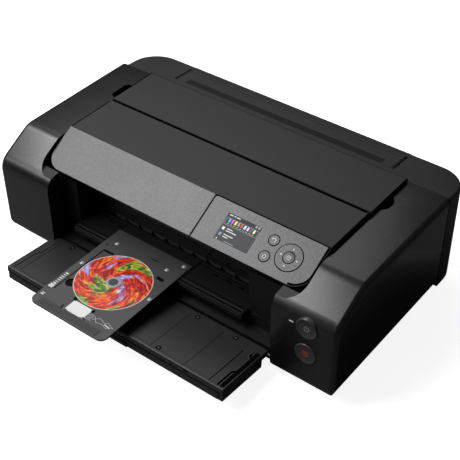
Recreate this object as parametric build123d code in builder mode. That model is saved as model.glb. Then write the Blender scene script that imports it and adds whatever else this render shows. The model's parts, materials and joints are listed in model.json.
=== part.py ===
"""Inkjet photo printer with a sloped, hinged top cover, in millimetres.

X runs across the printer, the front faces -Y, and Z = 0 is the surface it stands on.
The origin is under the middle of everything that the rest pose covers, trays included.
"""
import os
from math import acos, atan2, cos, pi, radians, sin, sqrt, tan

from build123d import *

os.makedirs("parts", exist_ok=True)

# Overall sizes
width = 639.0
body_depth = 379.0
lid_top = 194.0
tray_reach = 143.0  # how far the disc tray stands out of the front at rest

# Outer housing
foot_height = 14.0
wall = 3.0
lid_rise = 8.0
slope_angle = 29.5
block_inner = 213.0
block_fold = 67.0
block_end = 297.0
bend_round = 30.0
fold_round = 37.0
foot_round = 20.0
side_round = 22.0
edge_round = 8.0
rear_half = 309.0
rear_extra = 9.0  # how much further the rear case reaches on the right
rear_right = rear_half + rear_extra
rear_round = 50.0
case_depth = 368.0
rear_drop = 5.0

# Top cover (lid) and the paper support behind it
lid_half = 244.5
lid_gap = 2.5
lid_fold = 93.5
lid_front = 30.0
lid_rear = 189.8
lid_corner = 28.0
lid_wall = 2.5
plate = 2.0
support_gap = 3.5
support_rear = 297.0
support_round = 8.0
support_plate = 3.0
hinge_pin_r = 1.5
running = 0.05
seam = 0.5
slack = 0.3

# Operation panel, measured on the slope: across from the middle, down from the fold
panel_left = 46.3
panel_gap = 0.9
panel_corner = 5.0
screen_left = 80.0
screen_top = 15.0
screen_wide = 61.0
screen_tall = 46.0
key_x = 165.3
key_down = (24.6, 51.6)
key_r = 7.6
ring_x = 198.7
ring_down = 38.1
ring_r = 20.0
centre_r = 8.2

# Front buttons on the right block
button_x = 271.7
power_z = 129.6
stop_z = 82.3
button_r = 17.5
light_x = 246.3

# Manual feed cover and rear cover
feed_half = 209.0
feed_front = 312.0
feed_rear = 356.5
slit_half = 191.0
slit_width = 9.0
feed_gap = 1.2
rear_cover_half = 204.0
socket_x = rear_half - 77.0
socket_base = 32.0
inlet_half = 12.0
inlet_tall = 18.0
port_half = 20.0
port_tall = 22.0

# Trays at the front
tray_half = 210.0
tray_length = 104.0
tray_shift = -6.5
tray_hinge_z = 34.0
tray_tilt = 5.3
tray_thick = 10.5
guide_left = -186.5
guide_right = 146.5
guide_front = 22.0
guide_rear = 80.0
guide_top = 65.8
guide_thick = 12.0
disc_tray_x = -47.0
disc_tray_wide = 146.0
disc_tray_length = 200.0
disc_tray_thick = 2.8
disc_r = 60.0
disc_hole_r = 7.5
disc_thick = 1.2
disc_y = -41.0

# Mouth panels and the mechanism
panel_y = 38.0
exit_bar_y = 84.0
feed_y = 182.0
feed_z = 58.0
eject_z = 59.5
shaft_r = 3.0
roller_r = 6.0
feed_roller_r = 7.5
chassis_half = 241.5
sheet = 1.5
rail_r = 5.0
rail_y = 176.0
rail_z = 98.0
carriage_wide = 104.0
carriage_home = 186.0
pulley_x = 226.0
pulley_r = 7.0
belt_thick = 1.0
belt_z = 118.0
gear_module = 1.5
feed_teeth = 32
pinion_teeth = 12
idler_teeth = 28
backlash = 0.4
gear_x = -248.0
gear_wide = 6.0

# Places worked out from the sizes above
front_y = (tray_reach - body_depth) / 2
half = width / 2
deck = lid_top - lid_rise
case_bottom = foot_height
slope = radians(slope_angle)
lid_low_z = lid_top - (lid_fold - lid_front) * tan(slope)
bend_z = deck - block_fold * tan(slope)
shelf_front = 8.0
shelf_rear = lid_front - 2.0
shelf_low = deck - (block_fold - shelf_front) * tan(slope)
shelf_high = lid_low_z - 2.0
pocket_floor = lid_low_z - 18.0
pocket_half = lid_half + lid_gap
support_front = lid_rear + support_gap
lid_pin_y = lid_rear - 3.3
lid_pin_z = lid_top - 5.0
support_pin_y = support_rear - support_round
support_pin_z = lid_top - support_round


def at(y):
    """Place of a distance behind the front face, in the model's own frame."""
    return front_y + y


def box(x0, x1, y0, y1, z0, z1, mode=Mode.ADD):
    """Plain block between limits; y counts from the front face."""
    with Locations(((x0 + x1) / 2, at((y0 + y1) / 2), (z0 + z1) / 2)):
        Box(abs(x1 - x0), abs(y1 - y0), abs(z1 - z0), mode=mode)


def rod(x0, x1, y, z, radius, mode=Mode.ADD):
    """Round bar along X."""
    with Locations(Location(((x0 + x1) / 2, at(y), z), (0, 90, 0))):
        Cylinder(radius, abs(x1 - x0), mode=mode)


def post(x, y, z0, z1, radius, mode=Mode.ADD):
    """Round bar standing along Z."""
    with Locations((x, at(y), (z0 + z1) / 2)):
        Cylinder(radius, abs(z1 - z0), mode=mode)


def stub(x, z, y0, y1, radius, mode=Mode.ADD):
    """Round bar lying along Y."""
    with Locations(Location((x, at((y0 + y1) / 2), z), (90, 0, 0))):
        Cylinder(radius, abs(y1 - y0), mode=mode)


def strip(x0, x1, points, mode=Mode.ADD):
    """Side profile, given as (y, z) pairs, drawn out across the machine."""
    with BuildSketch(Plane.YZ.offset(x0)) as profile:
        with BuildLine():
            Polyline(*[(at(y), z) for y, z in points], close=True)
        make_face()
    extrude(profile.sketch, amount=x1 - x0, mode=mode)


def write(piece, name):
    """Label a finished piece and write its STEP file."""
    piece.part.label = name
    export_step(piece.part, f"parts/{name}.step")


def side_outline(inset=0.0):
    """Side view of a block: round foot, upright front, soft bend, slope and deck."""
    low, front, top = case_bottom + inset, at(inset), deck - inset
    shift = inset / cos(slope)
    points = [
        (front, low),
        (front, bend_z + inset * tan(slope) - shift),
        (at(block_fold) + inset * tan(slope / 2), top),
        (at(block_end) - inset, top),
        (at(block_end) - inset, low),
    ]
    radii = [foot_round - inset, bend_round - inset, fold_round - inset, 0.5, 0.5]
    FilletPolyline(*points, radius=radii, close=True)


def front_outline(side, inset=0.0):
    """Front view of a block with its round outer corner at the foot."""
    inner, outer = side * (block_inner + inset), side * (half - inset)
    low, high = case_bottom + inset, deck + 20
    points = [(inner, low), (outer, low), (outer, high), (inner, high)]
    FilletPolyline(*points, radius=[8.0 - inset, side_round - inset, 0.5, 0.5], close=True)


def lid_pocket(grow=0.0):
    """Space in the blocks for the lid, with the scooped shelf in front of its corners."""
    profile = [
        (at(shelf_front - grow), shelf_low - grow - grow * 0.2),
        (at(shelf_rear), shelf_high - grow),
        (at(shelf_rear), pocket_floor - grow),
        (at(block_end + 30), pocket_floor - grow),
        (at(block_end + 30), lid_top + 60),
        (at(shelf_front - grow), lid_top + 60),
    ]
    reach = pocket_half + grow
    with BuildPart() as pocket:
        with BuildSketch(Plane.YZ.offset(-reach)):
            with BuildLine():
                Polyline(*profile, close=True)
            make_face()
        extrude(amount=2 * reach)
        with BuildSketch(Plane.XY.offset(pocket_floor - 20)):
            with BuildLine():
                Polyline(
                    (-reach, at(block_end + 40)),
                    (reach, at(block_end + 40)),
                    (reach, at(shelf_front - grow)),
                    (-reach, at(shelf_front - grow)),
                    close=True,
                )
            corners = make_face().vertices().group_by(Axis.Y)[0]
            fillet(corners, radius=lid_corner + lid_gap + grow)
        extrude(amount=lid_top + 60, mode=Mode.INTERSECT)
    return pocket


def block_hollow(side, pocket):
    """Inside of a block, clear of its front, slope, deck and outer wall."""
    with BuildPart() as hollow:
        with BuildSketch(Plane.YZ.offset(side * (block_inner + wall))):
            with BuildLine():
                side_outline(wall)
            make_face()
        extrude(amount=side * (half - block_inner - 2 * wall))
        with BuildSketch(Plane.XZ.offset(-at(0))):
            with BuildLine():
                front_outline(side, wall)
            make_face()
        extrude(amount=-(block_end + 5), mode=Mode.INTERSECT)
        add(pocket.part, mode=Mode.SUBTRACT)
    return hollow


# Side covers
pocket = lid_pocket()
pocket_skin = lid_pocket(wall)
floor_half = half - side_round - 8.0
notch_y = 232.0
notch_long = 40.0
notch_deep = 12.0
notch_round = (notch_long**2 / 4 + notch_deep**2) / (2 * notch_deep)
screw_x = floor_half + 5.0
screw_rows = (80.0, 180.0, 270.0)
tray_hinge_y = 6.0
light_wide = 7.4
light_tall = 3.0
board_y = 14.0
board_posts = (button_x - 26.0, button_x + 27.0)


def side_cover(side):
    """Moulded block and side wall in one shell, open below and towards the machine."""
    hollow = block_hollow(side, pocket_skin)
    with BuildPart() as cover:
        with BuildSketch(Plane.YZ.offset(side * block_inner)):
            with BuildLine():
                side_outline()
            make_face()
        extrude(amount=side * (half - block_inner))
        outer = cover.faces().sort_by(Axis.X)[-1 if side > 0 else 0]
        fillet(outer.edges(), radius=edge_round)
        with BuildSketch(Plane.XZ.offset(-at(0))):
            with BuildLine():
                front_outline(side)
            make_face()
        extrude(amount=-(block_end + 5), mode=Mode.INTERSECT)
        add(hollow.part, mode=Mode.SUBTRACT)
        add(pocket.part, mode=Mode.SUBTRACT)
        with BuildSketch(Plane.XY.offset(0)):
            with Locations((side * pocket_half / 2, at(panel_y + wall + 150))):
                Rectangle(pocket_half, 300)
        extrude(amount=lid_top, mode=Mode.SUBTRACT)
        with BuildSketch(Plane.XY.offset(0)):
            with Locations((side * floor_half / 2, at(panel_y + wall + 150))):
                Rectangle(floor_half, 300)
        extrude(amount=case_bottom + wall + 1, mode=Mode.SUBTRACT)
        window = (case_bottom + side_round, deck - side_round)
        box(0, side * (rear_half - 2 * wall), block_end - 4, block_end + 1, *window, Mode.SUBTRACT)
        lump = side * (pocket_half + notch_deep - notch_round)
        with BuildSketch(Plane.XY.offset(deck - 12.0)):
            with Locations((lump, at(notch_y))):
                Circle(notch_round + wall)
            with Locations((side * (pocket_half / 2 + 20), at(notch_y))):
                Rectangle(pocket_half - 40, 4 * notch_round, mode=Mode.SUBTRACT)
            with Locations((-side * notch_round, at(notch_y))):
                Rectangle(6 * notch_round, 4 * notch_round, mode=Mode.SUBTRACT)
        extrude(amount=12.0)
        with BuildSketch(Plane.XY.offset(deck - 9.0)):
            with Locations((side * (pocket_half + notch_deep - notch_round), at(notch_y))):
                Circle(notch_round)
        extrude(amount=20, mode=Mode.SUBTRACT)
        rod(side * (block_inner - 1), side * (block_inner + wall + 1), tray_hinge_y, tray_hinge_z,
            hinge_pin_r + 1 + running, Mode.SUBTRACT)
        for y in screw_rows:
            post(side * screw_x, y, 0, case_bottom + wall + 1, 1.5, Mode.SUBTRACT)
            post(side * screw_x, y, 0, case_bottom + 1.6, 2.8, Mode.SUBTRACT)
        if side > 0:
            for z in (power_z, stop_z):
                stub(button_x, z, -5, 16, button_r + slack, Mode.SUBTRACT)
            with BuildSketch(Plane.XZ.offset(-at(-5))):
                with Locations((light_x, power_z)):
                    SlotOverall(light_wide, light_tall)
            extrude(amount=-15, mode=Mode.SUBTRACT)
            for x in board_posts:
                stub(x, (power_z + stop_z) / 2, wall - 0.5, board_y, 3.0)
    return cover


side_cover_left = side_cover(-1)
side_cover_right = side_cover(1)
write(side_cover_left, "side_cover_left")
write(side_cover_right, "side_cover_right")


# Base tray with the sill under the mouth
floor_z = case_bottom + wall
base_half = floor_half - seam
base_front = panel_y - wall
base_rear = 350.0
sill_top = 40.0
sill_front = 13.5
mouth_half = block_inner - seam
foot_x = 230.0
foot_rows = (60.0, 320.0)


with BuildPart() as base_tray:
    with BuildSketch(Plane.XY.offset(case_bottom)):
        with Locations((0, at((panel_y + wall + seam + base_rear) / 2))):
            Rectangle(2 * base_half, base_rear - panel_y - wall - seam)
    extrude(amount=wall)
    fillet(base_tray.edges().filter_by(Axis.Z).group_by(Axis.Y)[-1], radius=rear_round - 8)
    box(-mouth_half, mouth_half, base_front, panel_y + wall + 1, case_bottom, floor_z)
    box(-mouth_half, mouth_half, base_front, panel_y, floor_z - 1, sill_top)
    box(-mouth_half, mouth_half, sill_front, panel_y, sill_top - wall, sill_top)
    box(-mouth_half, mouth_half, sill_front, sill_front + wall, case_bottom + 3, sill_top)
    for x in (-150, -75, 0, 75, 150):
        box(x - 1.25, x + 1.25, sill_front + 1, base_front + 1, case_bottom + 3, sill_top - 1)
    for side in (-1, 1):
        flange = side * (base_half - wall)
        box(flange, side * (base_half + seam + side_round - 14), 60, 290, floor_z, floor_z + wall)
        box(flange, side * base_half, 60, 290, floor_z, floor_z + 12)
        for y in screw_rows:
            post(side * screw_x, y, case_bottom, floor_z + wall, 1.5, Mode.SUBTRACT)
        for y in foot_rows:
            post(side * foot_x, y, case_bottom - 1, floor_z + 1, 3.0, Mode.SUBTRACT)
    box(-(base_half - 50), base_half - 50, base_rear - 6, base_rear + 5, floor_z, floor_z + wall)
write(base_tray, "base_tray")

with BuildPart() as rubber_feet:
    for side in (-1, 1):
        for y in foot_rows:
            post(side * foot_x, y, 0, foot_height, 9.0)
            post(side * foot_x, y, foot_height - 1, floor_z, 3.0)
    fillet(rubber_feet.edges().group_by(Axis.Z)[0], radius=1.0)
write(rubber_feet, "rubber_feet")

with BuildPart() as case_screws:
    for side in (-1, 1):
        for y in screw_rows:
            post(side * screw_x, y, case_bottom + 0.2, case_bottom + 1.6, 2.8)
            post(side * screw_x, y, case_bottom + 1, floor_z + wall + 2, 1.5)
write(case_screws, "case_screws")


# Rear case with the bed of the manual feed cover
def rear_top(y, drop=0.0):
    """Height of the falling top at a distance behind the front face."""
    return deck - drop - rear_drop * (y - block_end) / (case_depth - block_end)


def rear_solid(inset=0.0):
    """Rear of the case as one block: round corners and the falling top."""
    with BuildPart() as block:
        with BuildSketch(Plane.XY.offset(case_bottom + inset)):
            left, right = inset - rear_half, rear_right - inset
            start, end = block_end - inset, case_depth - inset
            with BuildLine():
                Polyline(
                    (left, at(start)),
                    (right, at(start)),
                    (right, at(end)),
                    (left, at(end)),
                    close=True,
                )
            fillet(make_face().vertices().group_by(Axis.Y)[-1], radius=rear_round - inset)
        extrude(amount=deck - case_bottom)
        strip(-rear_half, rear_right, [
            (block_end - 5, 0),
            (case_depth + 5, 0),
            (case_depth + 5, rear_top(case_depth + 5, inset)),
            (block_end - 5, rear_top(block_end - 5, inset)),
        ], Mode.INTERSECT)
        if inset == 0:
            top = block.faces().sort_by(Axis.Z)[-1]
            fillet(top.edges().sort_by(Axis.Y)[1:], radius=5.0)
    return block


pivot_y = feed_rear - 3.5
pivot_z = rear_top(pivot_y, wall / 2)
pin_reach = feed_half + feed_gap + 2
rear_hollow = rear_solid(wall)
with BuildPart() as rear_floor:
    box(-(base_half + seam), base_half + seam, 100, base_rear + seam, 0, floor_z + 1)
    fillet(rear_floor.edges().filter_by(Axis.Z).group_by(Axis.Y)[-1], radius=rear_round - 8)
rear_shell = rear_solid()
with BuildPart() as rear_case:
    add(rear_shell.part)
    add(rear_hollow.part, mode=Mode.SUBTRACT)
    strip(-(feed_half + feed_gap + wall), feed_half + feed_gap + wall, [
        (feed_front - wall - seam, rear_top(feed_front, 9)),
        (feed_front - wall - seam, rear_top(feed_front, 1)),
        (case_depth - 1, rear_top(case_depth, 1)),
        (case_depth - 1, rear_top(case_depth, 9)),
    ])
    strip(-(feed_half + feed_gap), feed_half + feed_gap, [
        (feed_front - seam, rear_top(feed_front - seam, wall)),
        (feed_front - seam, rear_top(feed_front, -9)),
        (feed_rear + seam, rear_top(feed_rear, -9)),
        (feed_rear + seam, rear_top(feed_rear + seam, wall)),
    ], Mode.SUBTRACT)
    box(-(feed_half - 9), feed_half - 9, feed_front + 2, pivot_y - 6, 150, 195, Mode.SUBTRACT)
    box(-(feed_half + feed_gap), feed_half + feed_gap, pivot_y - 7, feed_rear + seam, 150, 195, Mode.SUBTRACT)
    rod(-pin_reach - running, pin_reach + running, pivot_y, pivot_z, 1.2 + running, Mode.SUBTRACT)
    box(-pocket_half - seam, pocket_half + seam, block_end - 2, block_end + 0.8, 165, 195, Mode.SUBTRACT)
    add(rear_floor.part, mode=Mode.SUBTRACT)
    box(-180, 180, case_depth - wall - 1, case_depth + 1, 60, 140, Mode.SUBTRACT)
    inlet_box = (-socket_x - inlet_half, -socket_x + inlet_half)
    inlet_rows = (socket_base, socket_base + inlet_tall)
    port_box = (socket_x - port_half, socket_x + port_half)
    port_rows = (socket_base, socket_base + port_tall)
    box(*inlet_box, case_depth - 4, case_depth + 1, *inlet_rows, Mode.SUBTRACT)
    box(*port_box, case_depth - 4, case_depth + 1, *port_rows, Mode.SUBTRACT)
write(rear_case, "rear_case")

with BuildPart() as rear_cover:
    back = ((case_depth, 40), (body_depth, 52), (body_depth, 148), (case_depth, 160))
    points = [(at(y), z) for y, z in back]
    with BuildSketch(Plane.YZ.offset(-rear_cover_half)):
        with BuildLine():
            FilletPolyline(*points, radius=[0.5, 8, 8, 0.5], close=True)
        make_face()
    extrude(amount=2 * rear_cover_half)
    strip(-rear_cover_half + wall, rear_cover_half - wall, [
        (case_depth - 1, 45), (body_depth - 2.5, 55), (body_depth - 2.5, 145), (case_depth - 1, 155),
    ], Mode.SUBTRACT)
    for z in (70, 100, 130):
        for x in range(-150, 151, 50):
            box(x - 16, x + 16, body_depth - 0.8, body_depth + 1, z - 1, z + 1, Mode.SUBTRACT)
write(rear_cover, "rear_cover")

with BuildPart() as manual_feed_cover:
    strip(-feed_half, feed_half, [
        (feed_front, rear_top(feed_front, wall)),
        (feed_front, rear_top(feed_front)),
        (feed_rear - 0.5, rear_top(feed_rear - 0.5)),
        (feed_rear - 0.5, rear_top(feed_rear - 0.5, wall)),
    ])
    strip(-feed_half, feed_half, [
        (feed_rear - 8, rear_top(feed_rear - 8, 1)),
        (feed_rear - 8, rear_top(feed_rear - 8, -0.6)),
        (feed_rear - 5, rear_top(feed_rear - 5, -0.6)),
        (feed_rear - 5, rear_top(feed_rear - 5, 1)),
    ])
    slit_rear = feed_front + 1.5 + slit_width
    strip(-slit_half, slit_half, [
        (feed_front + 1.5, rear_top(feed_front + 1.5, 1.2)),
        (feed_front + 1.5, rear_top(feed_front + 1.5, -5)),
        (slit_rear, rear_top(slit_rear, -5)),
        (slit_rear, rear_top(slit_rear, 1.2)),
    ], Mode.SUBTRACT)
    rod(-pin_reach, pin_reach, pivot_y, pivot_z, 1.2)
    box(-feed_half + 6, feed_half - 6, pivot_y - 5, pivot_y + 1, pivot_z - 2.6, pivot_z - 1)
write(manual_feed_cover, "manual_feed_cover")

inlet_z = socket_base + inlet_tall / 2
with BuildPart() as power_inlet:
    box(*inlet_box, case_depth - 16, case_depth, *inlet_rows)
    with BuildSketch(Plane.XZ.offset(-at(case_depth - 12))):
        with Locations((-socket_x - 3.3, inlet_z), (-socket_x + 3.3, inlet_z)):
            Circle(5.2)
    extrude(amount=-20, mode=Mode.SUBTRACT)
    for x in (-socket_x - 3.3, -socket_x + 3.3):
        stub(x, inlet_z, case_depth - 14, case_depth - 2, 1.2)
write(power_inlet, "power_inlet")

with BuildPart() as port_block:
    box(*port_box, case_depth - 14, case_depth, *port_rows)
    port_z = socket_base + port_tall / 2
    box(socket_x - 15.5, socket_x - 3.5, case_depth - 10, case_depth + 1, port_z - 6, port_z + 5, Mode.SUBTRACT)
    box(socket_x + 2, socket_x + 15, case_depth - 10, case_depth + 1, port_z - 7, port_z + 6, Mode.SUBTRACT)
    box(socket_x - 12, socket_x - 7, case_depth - 11, case_depth - 2, port_z - 1.5, port_z + 0.5)
write(port_block, "port_block")

# Top cover: shell, slope plate, operation panel with its screen and keys
slope_plane = Plane(
    origin=(0, at(lid_fold), lid_top), x_dir=(1, 0, 0), z_dir=(0, -sin(slope), cos(slope))
)
slope_length = (lid_fold - lid_front) / cos(slope)
skirt_z = lid_top - 16.0
skirt_drop = 10.0
ear_in = 220.0
ear_out = 228.0
frame_low = 170.0
frame_top = 174.0
frame_front = 90.0
frame_rear = 293.0
pad_rows = (105.0, 165.0)


def slope_prism(inset=0.0):
    """Block square to the slope, with the round lower corners of the lid."""
    with BuildPart() as prism:
        with BuildSketch(slope_plane.offset(-100)):
            reach = lid_half - inset
            low = inset - slope_length
            with BuildLine():
                Polyline((-reach, 200), (reach, 200), (reach, low), (-reach, low), close=True)
            fillet(make_face().vertices().group_by(Axis.Y)[0], radius=lid_corner - inset)
        extrude(amount=200)
    return prism


def slope_box(x0, x1, down0, down1, low, high, mode=Mode.ADD):
    """Block on the slope: across, down from the fold, and out from the surface."""
    with BuildSketch(slope_plane.offset(low)) as outline:
        with Locations(((x0 + x1) / 2, -(down0 + down1) / 2)):
            Rectangle(x1 - x0, down1 - down0)
    extrude(outline.sketch, amount=high - low, mode=mode)


def slope_disc(x, down, radius, low, high, mode=Mode.ADD):
    """Round block on the slope."""
    with BuildSketch(slope_plane.offset(low)) as outline:
        with Locations((x, -down)):
            Circle(radius)
    extrude(outline.sketch, amount=high - low, mode=mode)


def slope_z(y, drop=0.0):
    """Height of the slope at a distance behind the front face."""
    return lid_top - drop - (lid_fold - y) * tan(slope)


lid_outer = slope_prism()
lid_inner = slope_prism(lid_wall)
inner_drop = (plate + lid_wall) / cos(slope)
with BuildPart() as lid_hollow:
    inner_y = lid_fold + (inner_drop - lid_wall) / tan(slope)
    strip(-lid_half, lid_half, [
        (lid_rear - lid_wall, 100),
        (lid_rear - lid_wall, lid_top - lid_wall),
        (inner_y, lid_top - lid_wall),
        (0, slope_z(0, inner_drop)),
        (0, 100),
    ])
    add(lid_inner.part, mode=Mode.INTERSECT)

with BuildPart() as top_cover:
    skirt_y = lid_fold - (lid_top - skirt_drop - skirt_z) / tan(slope)
    strip(-lid_half, lid_half, [
        (lid_rear, lid_top),
        (lid_fold, lid_top),
        (0, slope_z(0)),
        (0, slope_z(0, skirt_drop)),
        (skirt_y, skirt_z),
        (lid_rear, skirt_z),
    ])
    add(lid_outer.part, mode=Mode.INTERSECT)
    add(lid_hollow.part, mode=Mode.SUBTRACT)
    slope_box(-lid_half - 1, lid_half + 1, 0, 100, -plate, 20, Mode.SUBTRACT)
    slope_box(panel_left + 10, lid_half - 10, 8, 66, -20, 1, Mode.SUBTRACT)
    box(-lid_half + 2, lid_half - 2, lid_rear - 4, lid_rear + 1, 150, lid_pin_z - 2.5, Mode.SUBTRACT)
    for side in (-1, 1):
        for near, far in ((ear_in - 4, ear_in - 1), (ear_out + 1, ear_out + 4)):
            rod(side * near, side * far, lid_pin_y, lid_pin_z, 2.5)
            box(side * near, side * far, lid_pin_y - 2.5, lid_rear - 1, lid_pin_z, lid_top - 1)
            rod(side * (near - 1), side * (far + 1), lid_pin_y, lid_pin_z,
                hinge_pin_r + running, Mode.SUBTRACT)
        box(side * (ear_in - 0.7), side * (ear_out + 0.7), lid_rear - 4, lid_rear + 1,
            150, lid_top - lid_wall, Mode.SUBTRACT)
write(top_cover, "top_cover")

with BuildPart() as slope_plate:
    slope_box(-lid_half, panel_left - panel_gap, slack, slope_length + 1, -plate, 0)
    add(lid_outer.part, mode=Mode.INTERSECT)
write(slope_plate, "slope_plate")

board_low = -9.0
with BuildPart() as operation_panel:
    with BuildSketch(slope_plane.offset(-plate)) as outline:
        with BuildLine():
            Polyline(
                (panel_left + panel_gap, -panel_gap),
                (panel_left + panel_gap, -slope_length - 1),
                (lid_half, -slope_length - 1),
                (lid_half, -panel_gap),
                close=True,
            )
        corner = make_face().vertices().group_by(Axis.X)[0].sort_by(Axis.Z)[-1]
        fillet(corner, radius=panel_corner)
    extrude(outline.sketch, amount=plate)
    add(lid_outer.part, mode=Mode.INTERSECT)
    slope_box(screen_left, screen_left + screen_wide, screen_top, screen_top + screen_tall,
              -5, 5, Mode.SUBTRACT)
    for down in key_down:
        slope_disc(key_x, down, key_r + slack, -5, 5, Mode.SUBTRACT)
    slope_disc(ring_x, ring_down, ring_r + slack, -5, 5, Mode.SUBTRACT)
    for x, down in ((64, 12), (64, 62), (150, 12), (150, 62), (225, 12), (225, 62)):
        slope_disc(x, down, 2.5, board_low + 1.6, -plate + 0.5)
write(operation_panel, "operation_panel")

with BuildPart() as lcd_screen:
    slope_box(screen_left, screen_left + screen_wide, screen_top, screen_top + screen_tall, -plate, -0.2)
    slope_box(screen_left - 3, screen_left + screen_wide + 3, screen_top - 3,
              screen_top + screen_tall + 3, -7.4, -plate)
write(lcd_screen, "lcd_screen")

with BuildPart() as panel_board:
    slope_box(58, 232, 9, 65, board_low, board_low + 1.6)
    for down in key_down:
        slope_disc(key_x, down, 2.0, board_low + 1.6, -5.9)
    slope_disc(ring_x, ring_down, 2.0, board_low + 1.6, -5.9)
write(panel_board, "panel_board")

ring_mid = slope_plane.from_local_coords((ring_x, -ring_down, -3.8))
ring_pivot = (ring_mid.Y - front_y, ring_mid.Z)
for name, down in (("back_key", key_down[0]), ("home_key", key_down[1])):
    with BuildPart() as key:
        slope_disc(key_x, down, key_r, -5, 0.4)
        slope_disc(key_x, down, key_r + 1.6, -4.2, -plate)
    write(key, name)

with BuildPart() as ok_button:
    slope_disc(ring_x, ring_down, centre_r, -4.6, 0.6)
    fillet(ok_button.edges().group_by(Axis.Z)[-1], radius=0.3)
write(ok_button, "ok_button")

with BuildPart() as nav_ring:
    slope_disc(ring_x, ring_down, ring_r, -4.4, 0.5)
    slope_disc(ring_x, ring_down, ring_r + 1.4, -4.4, -3.2)
    for side in (-1, 1):
        rod(ring_x + side * (centre_r + 2), ring_x + side * (ring_r - 1), *ring_pivot, 1.2)
    slope_disc(ring_x, ring_down, centre_r + 1.2, -6, 2, Mode.SUBTRACT)
write(nav_ring, "nav_ring")

# Upper frame that carries the lid and the paper support
lug_in = 236.0
lug_out = 243.0
with BuildPart() as upper_frame:
    box(-pocket_half, pocket_half, frame_front, frame_rear, frame_low, frame_top)
    box(-226, 226, frame_front + 6, 178, frame_low - 1, frame_top + 1, Mode.SUBTRACT)
    box(-226, 226, 199, 278, frame_low - 1, frame_top + 1, Mode.SUBTRACT)
    for side in (-1, 1):
        for y in pad_rows:
            box(side * 240, side * (lid_half + 0.5), y - 5, y + 5, frame_top - 1, skirt_z)
        box(side * ear_in, side * ear_out, lid_pin_y - 2.3, lid_pin_y + 2.3, frame_top - 1, lid_pin_z)
        rod(side * ear_in, side * ear_out, lid_pin_y, lid_pin_z, 2.3)
        rod(side * (ear_in - 1), side * (ear_out + 1), lid_pin_y, lid_pin_z, hinge_pin_r, Mode.SUBTRACT)
        low, high = sorted((side * lug_in, side * lug_out))
        strip(low, high, [
            (support_pin_y - 3.9, support_pin_z),
            (support_pin_y - 1, support_pin_z - 3.8),
            (support_pin_y - 9, frame_top - 1),
            (support_pin_y - 17, frame_top - 1),
        ])
        rod(side * lug_in, side * lug_out, support_pin_y, support_pin_z, 4.0)
        rod(side * (lug_in - 1), side * (lug_out + 1), support_pin_y, support_pin_z,
            hinge_pin_r, Mode.SUBTRACT)
write(upper_frame, "upper_frame")

with BuildPart() as hinge_pins:
    for side in (-1, 1):
        rod(side * (ear_in - 4.5), side * (ear_out + 4.5), lid_pin_y, lid_pin_z, hinge_pin_r)
        rod(side * lug_in, side * (pocket_half - 0.6), support_pin_y, support_pin_z, hinge_pin_r)
write(hinge_pins, "hinge_pins")

# Paper support and the extension that slides out of it
support_half = pocket_half - seam
ext_half = 150.0
ext_top = support_pin_z - 1.5
ext_low = ext_top - support_plate


def support_profile(inset=0.0):
    """Flat top that ends in a quarter round about the hinge pin."""
    front = support_front + inset
    top = lid_top - inset
    curve = support_round - inset
    Polyline(
        (at(support_pin_y) + curve, support_pin_z),
        (at(front), support_pin_z),
        (at(front), top),
        (at(support_pin_y), top),
    )
    RadiusArc((at(support_pin_y), top), (at(support_pin_y) + curve, support_pin_z), curve)


with BuildPart() as paper_support:
    with BuildSketch(Plane.YZ.offset(-support_half)):
        with BuildLine():
            support_profile()
        make_face()
    extrude(amount=2 * support_half)
    with BuildSketch(Plane.YZ.offset(-support_half + wall)):
        with BuildLine():
            support_profile(support_plate)
        make_face()
    extrude(amount=2 * (support_half - wall), mode=Mode.SUBTRACT)
    for side in (-1, 1):
        rod(side * (support_half - wall), side * support_half, support_pin_y, support_pin_z, 4.0)
        rod(side * (support_half - wall - 1), side * (support_half + 1), support_pin_y,
            support_pin_z, hinge_pin_r + running, Mode.SUBTRACT)
        box(side * (ext_half + 0.4), side * (ext_half + 3.4), 206, 284, ext_low - 1.5, lid_top - 2)
        box(side * (ext_half - 4), side * (ext_half + 1), 206, 284, ext_low - 1.5, ext_low)
        for x in (50, 110, 195, 225):
            box(side * x - 1, side * x + 1, support_front + 1, 283, support_pin_z, lid_top - 1)
write(paper_support, "paper_support")

with BuildPart() as support_extension:
    box(-ext_half, ext_half, 200, 284, ext_low, ext_top)
    fillet(support_extension.edges().filter_by(Axis.Z).group_by(Axis.Y)[0], radius=12)
    box(-25, 25, 200, 203, ext_low, ext_top + 1.2)
write(support_extension, "support_extension")

# Buttons, light and board on the right block
with BuildPart() as face_skin:
    with BuildSketch(Plane.YZ.offset(block_inner)):
        with BuildLine():
            side_outline(-0.8)
        make_face()
    extrude(amount=half - block_inner)
for name, z in (("power_button", power_z), ("stop_button", stop_z)):
    with BuildPart() as button:
        stub(button_x, z, -1.2, 9, button_r)
        stub(button_x, z, -2, -0.6, button_r - 2.6, Mode.SUBTRACT)
        box(button_x - 20, button_x + 20, wall, wall + 2, z - 4, z + 0.8)
        box(button_x - 5, button_x + 5, wall, wall + 2, z - 20, z)
        stub(button_x, z, 8, 11, 3.0)
    write(button, name)

with BuildPart() as status_light:
    with BuildSketch(Plane.XZ.offset(-at(0))):
        with Locations((light_x, power_z)):
            SlotOverall(light_wide, light_tall)
    extrude(amount=-wall)
    add(face_skin.part, mode=Mode.INTERSECT)
    box(light_x - 2.4, light_x + 2.4, wall, wall + 4, power_z - 2.5, power_z + 0.8)
write(status_light, "status_light")

with BuildPart() as front_board:
    box(button_x - 31, button_x + 31, board_y, board_y + 1.6, stop_z - 22, power_z + 18)
    for z in (stop_z, power_z):
        box(button_x - 3, button_x + 3, board_y - 1.2, board_y, z - 3, z + 3)
write(front_board, "front_board")

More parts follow.
